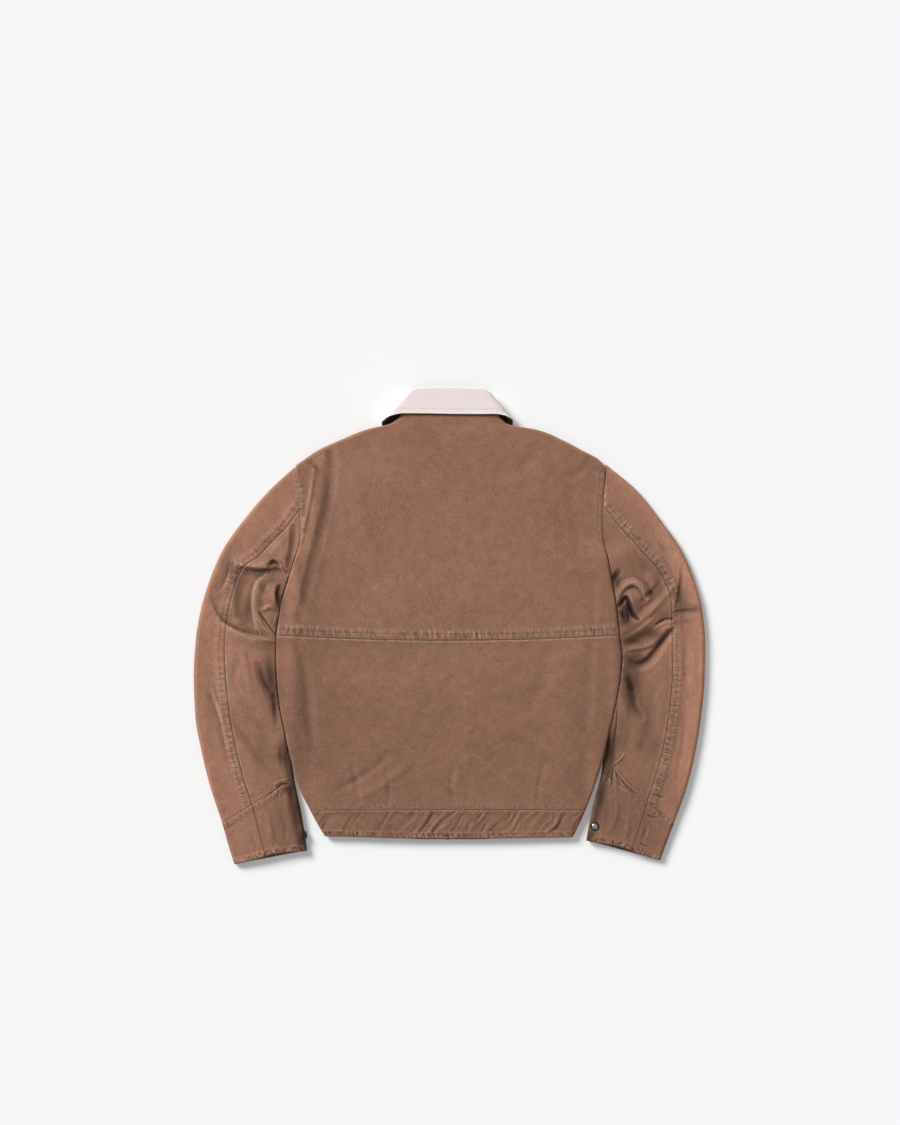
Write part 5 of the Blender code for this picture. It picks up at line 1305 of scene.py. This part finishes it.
class JacketSizes(bpy.types.PropertyGroup):
    """Sizes of the cloth's detail."""
    stitch_length: length_property(
        "Stitch length", "Length of one stitch that shows", 0.0026, 0.001, 0.006)
    stitch_gap: length_property("Stitch gap", "Gap between two stitches", 0.0009, 0.0002, 0.003)
    thread_radius: length_property(
        "Thread radius", "Half the thickness of the sewing thread", 0.00032, 0.0001, 0.001)
    thread_pitch: length_property(
        "Thread pitch", "Width of one thread of the weave with its gap", 0.0009, 0.0002, 0.003)
    pucker: bpy.props.FloatProperty(
        name="Pucker", description="How strongly the washed seams pucker", default=1.0,
        min=0.0, max=2.0, subtype="FACTOR")


def colour_property(name, description, default):
    return bpy.props.FloatVectorProperty(
        name=name, description=description, default=default, subtype="COLOR", size=3, min=0,
        max=1)


class JacketColours(bpy.types.PropertyGroup):
    """Colours of the cloth and trim."""
    canvas: colour_property("Canvas", "Main colour of the washed canvas", (0.281, 0.1395, 0.0908))
    worn_canvas: colour_property("Worn canvas", "Colour of rubbed seams", (0.460, 0.280, 0.198))
    collar: colour_property("Collar", "Colour of the top collar", (0.845, 0.735, 0.725))
    collar_rim: colour_property("Collar rim", "Colour of the collar's edge", (1.0, 0.94, 0.80))
    undercollar: colour_property("Undercollar", "Colour below the collar", (0.060, 0.032, 0.026))
    tape: colour_property("Zip tape", "Colour of the zip's tape", (0.120, 0.070, 0.050))
    thread: colour_property("Thread", "Colour of the topstitching", (0.270, 0.125, 0.090))
    brass: colour_property("Brass", "Colour of the zip's metal", (0.600, 0.420, 0.180))


class JacketOperator(bpy.types.Operator):
    """Base of the jacket's operators."""
    bl_options = {"REGISTER", "UNDO"}


# The back's columns: shares of its flat half, of its rolled side and of the tail behind that.
BACK_SHARES = graded(0.0, 1.0, 0.0095, 0.006, 0.0, 0.12)
BACK_ROLLS = np.arange(1, 9) / 8
BACK_TAILS = np.array([0.2, 0.4, 0.6, 0.8, 1.0])


def back_panel(start, end, fine_start, fine_end):
    y = graded(start, end, 2.7, 1.1, fine_start, fine_end)
    points, seen = back_grid(y, BACK_SHARES, BACK_ROLLS, BACK_TAILS)
    x, y = points[:, :, 0], points[:, :, 1]
    under_collar = smoothstep(292, 304, y) * (1 - smoothstep(118, 128, np.abs(x)))
    panel = Panel(points, seen * (1 - under_collar), 0 * seen, True)
    panel.relief += crease_height(BACK_CREASES, x, y) * panel.seen
    add_softness(panel, 0.9, 60)
    # darker towards the hem and towards the right side
    panel.fade *= 1 - 0.09 * smoothstep(40, -120, y) - 0.04 * smoothstep(20, 200, x)
    panel.fade *= 1 + (1 - seen) * np.where(x > 0, 0.9, 0.3)  # painted light on the rolled edges, most on the right, which turns away from the key light
    return panel


class JACKET_OT_back(JacketOperator):
    """Make the upper and lower back"""
    bl_idname = "jacket.back"
    bl_label = "Back"

    def execute(self, context):
        half = CLOTH_SEAM / 2
        upper = back_panel(BODY[0, 0], CROSS_SEAM_Y + half, 0.0, 14.0)
        y = upper.points[:, :, 1]
        at_armhole = smoothstep(112, 130, y) * (1 - smoothstep(230, 240, y))
        for edge, seed, strength in (("start", 70, 1.0), ("end", 80, 0.55)):
            before = {label: getattr(upper, label).copy()
                      for label in ("relief", "wear", "shade", "pucker")}
            add_seam(upper, edge, 9.5, 0.3, 0.30 * strength, 5.0, 0.0, (2.0, 7.6),
                     0.7 * strength, seed, strength=strength)
            for label, value in before.items():
                share = at_armhole[:, :, None] if label == "pucker" else at_armhole
                setattr(upper, label, mix(value, getattr(upper, label), share))
        lower = back_panel(CROSS_SEAM_Y - half, WAIST_SEAM_Y + half, 4.0, 9.0)
        for name, panel in (("upper", upper), ("lower", lower)):
            add_seams(panel, f"{name}_back")
            panel.relief *= panel.seen
            panel.finish()
            make_cloth(f"{name}_back_cloth", panel, f"back_{name}")
        sew(upper, "bottom", (1.8, 9.5), 40, 40)
        return {"FINISHED"}


class JACKET_OT_waistband(JacketOperator):
    """Make the waistband round the hem"""
    bl_idname = "jacket.waistband"
    bl_label = "Waistband"

    def execute(self, context):
        pucker = context.scene.jacket_sizes.pucker
        y = graded(WAIST_SEAM_Y - CLOTH_SEAM / 2, BAND_BOTTOM_BACK, 1.15)
        points, seen = back_grid(y, BACK_SHARES, BACK_ROLLS, BACK_TAILS)
        drawn = smoothstep(-296, BAND_BOTTOM_BACK, points[:, :, 1])
        points[:, :, 1] += drawn * (2.4 * smoothstep(-40, -170, points[:, :, 0])
                                    + 1.0 * smoothstep(40, 150, points[:, :, 0]) - 0.8)
        band = Panel(points, np.maximum(seen, 0.3), 0 * seen, True)
        add_softness(band, 0.5, 66)
        add_seams(band, "back_waistband")
        depth, along = band.edge("top")
        bent = along + 0.75 * depth + 7 * noise(along, depth, 21, 117)
        twist = noise(bent, 0.16 * depth, 8.0, 118) + 0.6 * noise(bent, 0.3 * depth, 4.6, 120)
        middle = smoothstep(0, 6, depth) * smoothstep(4, 11, band.to_bottom)
        band.relief += 1.2 * pucker * twist * middle * (0.7 + 0.3 * noise(along, depth, 26, 119))
        band.relief *= np.maximum(seen, 0.15)
        band.fade *= 0.82
        band.finish(0.8, 1.1)
        make_cloth("back_waistband_cloth", band, "waistband_back",
                   BAND_WALL)
        sew(band, "top", (2.0,), 6, 6)
        sew(band, "bottom", (7.4,), 6, 6)
        for side, drawn_up in (("left", 5.0), ("right", 4.0)):
            y = graded(WAIST_SEAM_Y - SEAM / 2, BAND_BOTTOM_FRONT, 1.6)
            points = front_grid(side, y, np.linspace(0, 1, 70)[:-1], np.linspace(1, 0, 9))
            drawn = smoothstep(-300, BAND_BOTTOM_FRONT, points[:, :, 1])
            points[:, :, 1] += drawn * drawn_up * smoothstep(40, 120, np.abs(points[:, :, 0]))
            front = plain_panel(points, side == "left")
            add_seams(front, "front_waistband")
            front.fade *= 0.88
            make_cloth(f"{side}_waistband_cloth", front, f"waistband_front_{side}")
            sew(front, "top", (2.0,), 6, 6)
            sew(front, "bottom", (7.6,), 6, 6)
        return {"FINISHED"}


class JACKET_OT_fronts(JacketOperator):
    """Make the two fronts, which lie on the surface"""
    bl_idname = "jacket.fronts"
    bl_label = "Fronts"

    def execute(self, context):
        for side in SIDES:
            y = graded(FRONT_TOP, WAIST_SEAM_Y + SEAM / 2, 4.6)
            points = front_grid(side, y, np.linspace(0, 1, 56)[:-1], np.linspace(1, 0, 8))
            middle = np.sin(np.linspace(0, 1, points.shape[1]) * math.pi)[None]
            ends = smoothstep(0, 30, y - y[-1]) * smoothstep(210, 150, y)
            points[:, :, 2] += middle * ends[:, None] * crease_height(
                UNDERSIDE_CREASES, points[:, :, 0], points[:, :, 1])
            panel = plain_panel(points, side == "left")
            panel.wear += 0.5 * bell(panel.from_start, 2.5)
            # painted shade along the stitch line
            panel.shade += 0.25 * bell(panel.from_start - 7, 0.8)
            make_cloth(f"front_{side}_cloth", panel, f"front_{side}")
            sew(panel, "start", (2.5, 7.0), 4, 4)
        return {"FINISHED"}


# How much painted light brightens a sleeve along its outer fold, against the shade there, and at
# its head, against the shadow in the armhole's groove.
FOLD_PAINTED_LIGHT = {"left": 0.16, "right": 0.60}
HEAD_PAINTED_LIGHT = {"left": 0.35, "right": 0.85}


def sleeve_columns(_, seam):
    """Where a ring's points lie round it, for the outer and for the under panel."""
    low = 3 + FRONT_SEAM
    outer = np.concatenate([
        stepped((low + SEAM_TURN, 4, 20), (4, 5, 11)),
        mix(5.0, 4 + seam - SEAM_TURN, stepped((0, 0.72, 20), (0.72, 1, 14)))[1:]])
    under = np.concatenate([
        mix(seam + SEAM_TURN, 2.0, stepped((0, 0.06, 6), (0.06, 1, 68))),
        stepped((2, 3, 9), (3, low - SEAM_TURN, 4))[1:]])
    return outer, under


def cuff_columns(side, seam):
    """The same for a cuff, whose panels end at the vent."""
    vent = VENT_EDGE[side]
    wide = max(vent + 0.3, 3)
    outer = stepped((VENT_LAP, 2, 6), (2, vent, 8), (vent, wide, 6), (wide, 4, 22), (4, 5, 10),
                    (5, 4 + seam - SEAM_TURN, 38))
    return outer, stepped((seam + SEAM_TURN, 2, 56), (2, vent, 10))


def tube_panels(side, t, columns, inset=lambda around: 0.0):
    """The outer and the under panel, and the places of their points round the rings."""
    seams = 1 + ring_at(side, t).seam
    outer_around, under_around = [
        np.array(places) for places in zip(*(columns(side, seam) for seam in seams))]
    insets = (inset(outer_around), 0.0)
    outer, under = [Panel(*sleeve_grid(side, t, around, sunk, SLEEVE_CREASES), side == "left")
                    for around, sunk in zip((outer_around, under_around), insets)]
    for panel, to_seam in ((outer, outer.to_end), (under, under.from_start)):
        panel.fade *= 1 - 0.3 * bell(to_seam, 1.1)
    return outer, under, outer_around, under_around


class JACKET_OT_sleeves(JacketOperator):
    """Make the sleeves' outer and under panels"""
    bl_idname = "jacket.sleeves"
    bl_label = "Sleeves"

    def execute(self, context):
        for side in SIDES:
            t = graded(0.0, CUFF_RING - RING_SEAM, 0.037, 0.012, 0.2, 0.1)
            outer, under, outer_around, under_around = tube_panels(side, t, sleeve_columns)
            outer.fade *= 1 + FOLD_PAINTED_LIGHT[side] * bell(np.mod(outer_around, 4) - 0.8, 0.25)
            start, deep = INNER_SHADE[side]
            under.fade *= 1 - (deep * smoothstep(start, start + 0.04, under_around)
                               * smoothstep(8.2, 9.6, t)[:, None])
            add_softness(outer, 0.5, 130)
            add_softness(under, 0.5, 140)
            add_seams(outer, f"{side}_elbow")
            for name, panel, dark in (("upper", outer, 0.7), ("under", under, 0.8)):
                add_seams(panel, f"{name}_sleeve")
                panel.relief *= panel.seen
                panel.fade *= 1 + HEAD_PAINTED_LIGHT[side] * bell(panel.from_top, 2.5)
                panel.finish(0.55, dark)
                make_cloth(f"{side}_{name}_sleeve_cloth", panel, f"sleeve_{name}_{side}")
            sew(outer, "end", (1.8, 7.6), 4, 4)
        return {"FINISHED"}


class JACKET_OT_cuffs(JacketOperator):
    """Make the cuffs, open at the vent"""
    bl_idname = "jacket.cuffs"
    bl_label = "Cuffs"

    def execute(self, context):
        for side, vent in VENT_EDGE.items():

            def inset(around):
                lap = 1 - smoothstep(vent + 0.04, max(vent + 0.3, 3), around)
                return np.where(around >= 4, 0.0, (WALL + SEAM) * lap)

            t = graded(CUFF_RING + RING_SEAM, LAST_RING, 0.028)
            outer, under, _, under_around = tube_panels(side, t, cuff_columns, inset)
            start, deep = CUFF_SHADE[side]
            # painted shade down the under panel's inner edge, unevenly deep
            uneven_shade = 0.75 + 0.25 * noise(under.from_top, under.from_start, 9, 169)
            under.fade *= 1 - deep * uneven_shade * smoothstep(start, start + 0.1, under_around)
            for name, panel, node, seed in (("outer", outer, "upper", 150),
                                            ("inner", under, "under", 160)):
                add_softness(panel, 0.45, seed)
                add_seams(panel, f"{name}_cuff")
                panel.relief *= np.where(panel.seen > 0, np.maximum(panel.seen, 0.2), 0)
                panel.finish(0.55, 0.7)
                make_cloth(f"{side}_{name}_cuff_cloth", panel, f"cuff_{node}_{side}")
                sew(panel, "top", (2.0, 6.0), 3, 3)
                sew(panel, "bottom", (7.4,), 3, 3)
        return {"FINISHED"}


def collar_around(make, *shares):
    """Both halves of a collar piece, from the left front round the back to the right front."""
    last = len(COLLAR["left"]) - 1
    t = np.arange(0, last * COLLAR_STEPS + 1) / COLLAR_STEPS
    left, right = make("left", t, *shares), make("right", t, *shares)
    return np.concatenate([left[::-1], right[1:]])


class JACKET_OT_collar(JacketOperator):
    """Make the top collar, the undercollar and the stand"""
    bl_idname = "jacket.collar"
    bl_label = "Collar"

    def execute(self, context):
        points = collar_around(
            leaf_grid, np.linspace(0, 1, 13), stepped((0, 0.72, 15), (0.72, 1, 15))[1:])
        leaf = plain_panel(points, False)
        depth, along = leaf.edge("end")
        over = smoothstep(6, 9, points[:, :, 2])
        leaf.relief += 0.22 * noise(along, depth, 24, 170) * over
        leaf.relief -= 0.3 * bell(depth - 7, 0.9) * over
        leaf.relief -= 0.25 * (1 - smoothstep(0, 1.2, depth))
        # painted shade where the collar turns down round the sides of the neck
        leaf.fade *= 1 - 0.16 * bell(points[:, :, 2] - 14, 5) * (depth > 20)
        ripple = np.cos(2 * math.pi * (along / 7.5 + 0.5 * noise(along, depth, 30, 171)))
        leaf.relief += 0.12 * ripple * bell(depth - 4.5, 3.5) * over
        leaf.wear += 1.3 * bell(depth, 2)
        # painted shade along the stitch line
        leaf.shade += 0.08 * bell(depth - 7, 0.8)
        leaf.raise_cloth()
        under = plain_panel(collar_around(undercollar_grid, np.linspace(0, 1, 8)), False)
        stand = plain_panel(collar_around(stand_grid, np.linspace(0, 1, 5)), True)
        for name, panel, node, wall, finish, slot in (
                ("top_collar", leaf, "collar_top", LEAF_WALL, "corded_collar", "collar_cloth"),
                ("undercollar", under, "undercollar", UNDERCOLLAR_WALL, "dark_corduroy",
                 "canvas_dark"),
                ("collar_stand", stand, "collar_stand", STAND_WALL, "dark_corduroy",
                 "canvas_dark")):
            make_cloth(f"{name}_cloth", panel, node, wall, finish, slot)
        sew(leaf, "end", (7.0,), 6, 6, "collar_cloth")
        return {"FINISHED"}


class JACKET_OT_zip(JacketOperator):
    """Make the zip's tapes and teeth and finish its slider, pull and box"""
    bl_idname = "jacket.zip"
    bl_label = "Zip"

    tooth_pitch: length_property(
        "Tooth pitch", "Distance between two teeth of one row", 0.0026, 0.001, 0.006)

    def execute(self, context):
        for side, sign in SIDES.items():
            y = graded(ZIP_TOP, ZIP_BOTTOM, 4.0)
            across = CENTRE_FRONT + sign * np.linspace(TAPE_INNER, TAPE_OUTER, 9)
            points = on_grid(across[None], y[:, None], (lift(y) + WALL + SEAM)[:, None])
            panel = plain_panel(points, side == "left")
            panel.wear += 0.6 * bell(panel.from_start, 1.4)
            make_cloth(f"{side}_zip_tape_cloth", panel, f"zip_tape_{side}",
                       TAPE_WALL, "zip_tape_twill", "zip_tape")
        step = self.tooth_pitch / MM / 2
        teeth = []
        for k in range(int((SLIDER_LOW - 2 * SEAM - ZIP_BOTTOM) // step)):
            y = ZIP_BOTTOM + 0.4 + k * step
            side = -1 if k % 2 else 1
            z = float(lift(y))
            low, high = sorted((CENTRE_FRONT - side * 0.9, CENTRE_FRONT + side * 2.4))
            teeth.append(block((low, y, z + 0.6), (high, y + 0.85, z + 1.75), 0.12))
        make_piece("zip_teeth", mesh_of("zip_teeth", *joined(teeth), smooth=False), "aged_brass",
                   "zip_brass", "zip_chain")
        for node in ("zip_slider", "zip_pull", "zip_box"):
            metal = frame["nodes"][node]
            metal.data.materials.clear()
            metal.data.materials.append(material_named("aged_brass"))
        return {"FINISHED"}


# The left cap is the same silver snap as the right; its black finish is painted shade, as it sits
# on the inner fold's shoulder turned away from the light.
CAP_FINISH = {"left": "snap_black", "right": "snap_silver"}
SNAP_RING = [(4.7, 0.5), (4.8, 0.9), (5.5, 1.1), (6.2, 0.95), (6.6, 0.5), (6.65, 0.05),
             (6.0, 0.0), (4.7, 0.0)]
SNAP_CAP = [(0.0, 1.75), (0.7, 1.78), (1.5, 1.95), (2.2, 2.15), (2.9, 2.1), (3.6, 1.75),
            (4.15, 1.25), (4.4, 0.7), (4.4, 0.1), (4.2, 0.0), (0.0, 0.0)]


class JACKET_OT_snaps(JacketOperator):
    """Make the cuffs' snap caps and their rings"""
    bl_idname = "jacket.snaps"
    bl_label = "Snaps"

    def execute(self, context):
        for side, (t, around) in SNAP_PLACE.items():

            def place(ring, turn):
                return Vector(sleeve_grid(side, np.array([ring]), np.array([[turn]]))[0][0, 0])

            here = place(t, around)
            along, across = place(t + 0.1, around) - here, place(t, around + 0.02) - here
            normal = across.cross(along).normalized() * SIDES[side]
            for label, profile, metal, slot in (
                    ("ring", SNAP_RING, "snap_black", "snap_dark"),
                    ("cap", SNAP_CAP, CAP_FINISH[side], "snap_steel")):
                name = f"{side}_cuff_snap_{label}"
                mesh = lathe_mesh(name, profile, label == "ring")
                turn = normal.to_track_quat("Z", "Y").to_matrix().to_4x4()
                turn.translation = (here + normal * SEAM) * MM
                mesh.transform(turn)
                make_piece(name, mesh, metal, slot, f"snap_{label}_{side}")
        return {"FINISHED"}


class JACKET_OT_stitching(JacketOperator):
    """Sew the topstitching along the seams"""
    bl_idname = "jacket.stitching"
    bl_label = "Stitching"

    def execute(self, context):
        sizes = context.scene.jacket_sizes
        stitch = [value / MM for value in (
            sizes.stitch_length, sizes.stitch_gap, sizes.thread_radius)]
        for slot, thread in (("canvas", "topstitch_thread"), ("collar_cloth", "collar_thread")):
            runs = joined(stitch_run(line, outward, *stitch)
                          for line, outward in STITCH_LINES[slot] if len(line) > 2)
            name = f"{slot}_stitching"
            make_piece(name, mesh_of(name, *runs), thread, slot)
        return {"FINISHED"}


FIELD_HEIGHT = 1.6875  # what the camera sees from top to bottom on the floor, in metres
CAMERA_HEIGHT = 6.0
VIEW_CENTRE = (0.0006, 0.0950)
FLOOR_REACH, FLOOR_HEIGHT = 6.0, -0.0004
FLOOR_TONES = scaled((0.776,) * 3, 1), scaled((0.784,) * 3, 1)
FLOOR_GLOW, WORLD_LIGHT, KEY_LIGHT = 0.146, 0.35, 3.65
KEY_SPREAD = math.radians(24)
KEY_AIM = Vector((0.62, -0.55, -0.57))
SENSOR = 36.0


class JACKET_OT_stage(JacketOperator):
    """Make the pale floor, the soft light and the camera straight above"""
    bl_idname = "jacket.stage"
    bl_label = "Stage"

    def execute(self, context):
        scene = context.scene
        floor_mesh = bpy.data.meshes.new("floor")
        corners = [(x * FLOOR_REACH, y * FLOOR_REACH, 0)
                   for x, y in ((-1, -1), (1, -1), (1, 1), (-1, 1))]
        floor_mesh.from_pydata(corners, [], [(0, 1, 2, 3)])
        floor = place_object("floor", floor_mesh)
        floor.location.z = FLOOR_HEIGHT
        make = Finish("pale_floor")
        cloudy = make.noise(make.place, 3.0, 2.0)
        floor_mesh.materials.append(make.done({
            "Base Color": make.blend(cloudy, *FLOOR_TONES), "Emission Color": (1, 1, 1, 1),
            "Emission Strength": FLOOR_GLOW, "Roughness": 0.9, "Specular IOR Level": 0.0}))

        world = bpy.data.worlds.new("soft_studio")
        world.use_nodes = True
        background = world.node_tree.nodes["Background"]
        background.inputs["Color"].default_value = (1, 1, 1, 1)
        background.inputs["Strength"].default_value = WORLD_LIGHT
        scene.world = world
        key = bpy.data.lights.new("key", "SUN")
        key.energy = KEY_LIGHT
        key.angle = KEY_SPREAD
        place_object("key", key).rotation_euler = KEY_AIM.to_track_quat("-Z", "Y").to_euler()

        camera = bpy.data.cameras.new("camera")
        camera.type = "PERSP"
        camera.sensor_width = SENSOR
        camera.lens = SENSOR * CAMERA_HEIGHT / FIELD_HEIGHT
        camera.clip_end = 50.0
        scene.camera = place_object("camera", camera)
        scene.camera.location = (*VIEW_CENTRE, CAMERA_HEIGHT)
        scene.view_settings.view_transform = "Standard"
        return {"FINISHED"}


class JACKET_PT_sidebar(bpy.types.Panel):
    """Lists the jacket's steps, sizes and colours"""
    bl_idname = "JACKET_PT_sidebar"
    bl_label = "Harrington Jacket"
    bl_space_type = "VIEW_3D"
    bl_region_type = "UI"
    bl_category = "Jacket"

    def draw(self, context):
        for group in (context.scene.jacket_sizes, context.scene.jacket_colours):
            for name in group.bl_rna.properties.keys():
                if name not in ("rna_type", "name"):
                    self.layout.prop(group, name)
        for step in STEPS:
            self.layout.operator(step.bl_idname)


STEPS = (JACKET_OT_stage, JACKET_OT_back, JACKET_OT_waistband, JACKET_OT_fronts,
         JACKET_OT_sleeves, JACKET_OT_cuffs, JACKET_OT_collar, JACKET_OT_zip, JACKET_OT_snaps,
         JACKET_OT_stitching)
CLASSES = (JacketSizes, JacketColours, *STEPS, JACKET_PT_sidebar)


def register():
    for one in CLASSES:
        bpy.utils.register_class(one)
    bpy.types.Scene.jacket_sizes = bpy.props.PointerProperty(type=JacketSizes)
    bpy.types.Scene.jacket_colours = bpy.props.PointerProperty(type=JacketColours)


def unregister():
    del bpy.types.Scene.jacket_colours
    del bpy.types.Scene.jacket_sizes
    for one in reversed(CLASSES):
        bpy.utils.unregister_class(one)


def main():
    register()
    for step in STEPS:
        name = step.bl_idname.split(".")[1]
        if getattr(bpy.ops.jacket, name)() != {"FINISHED"}:
            raise RuntimeError(f"{name} did not finish")


if __name__ == "__main__":
    main()
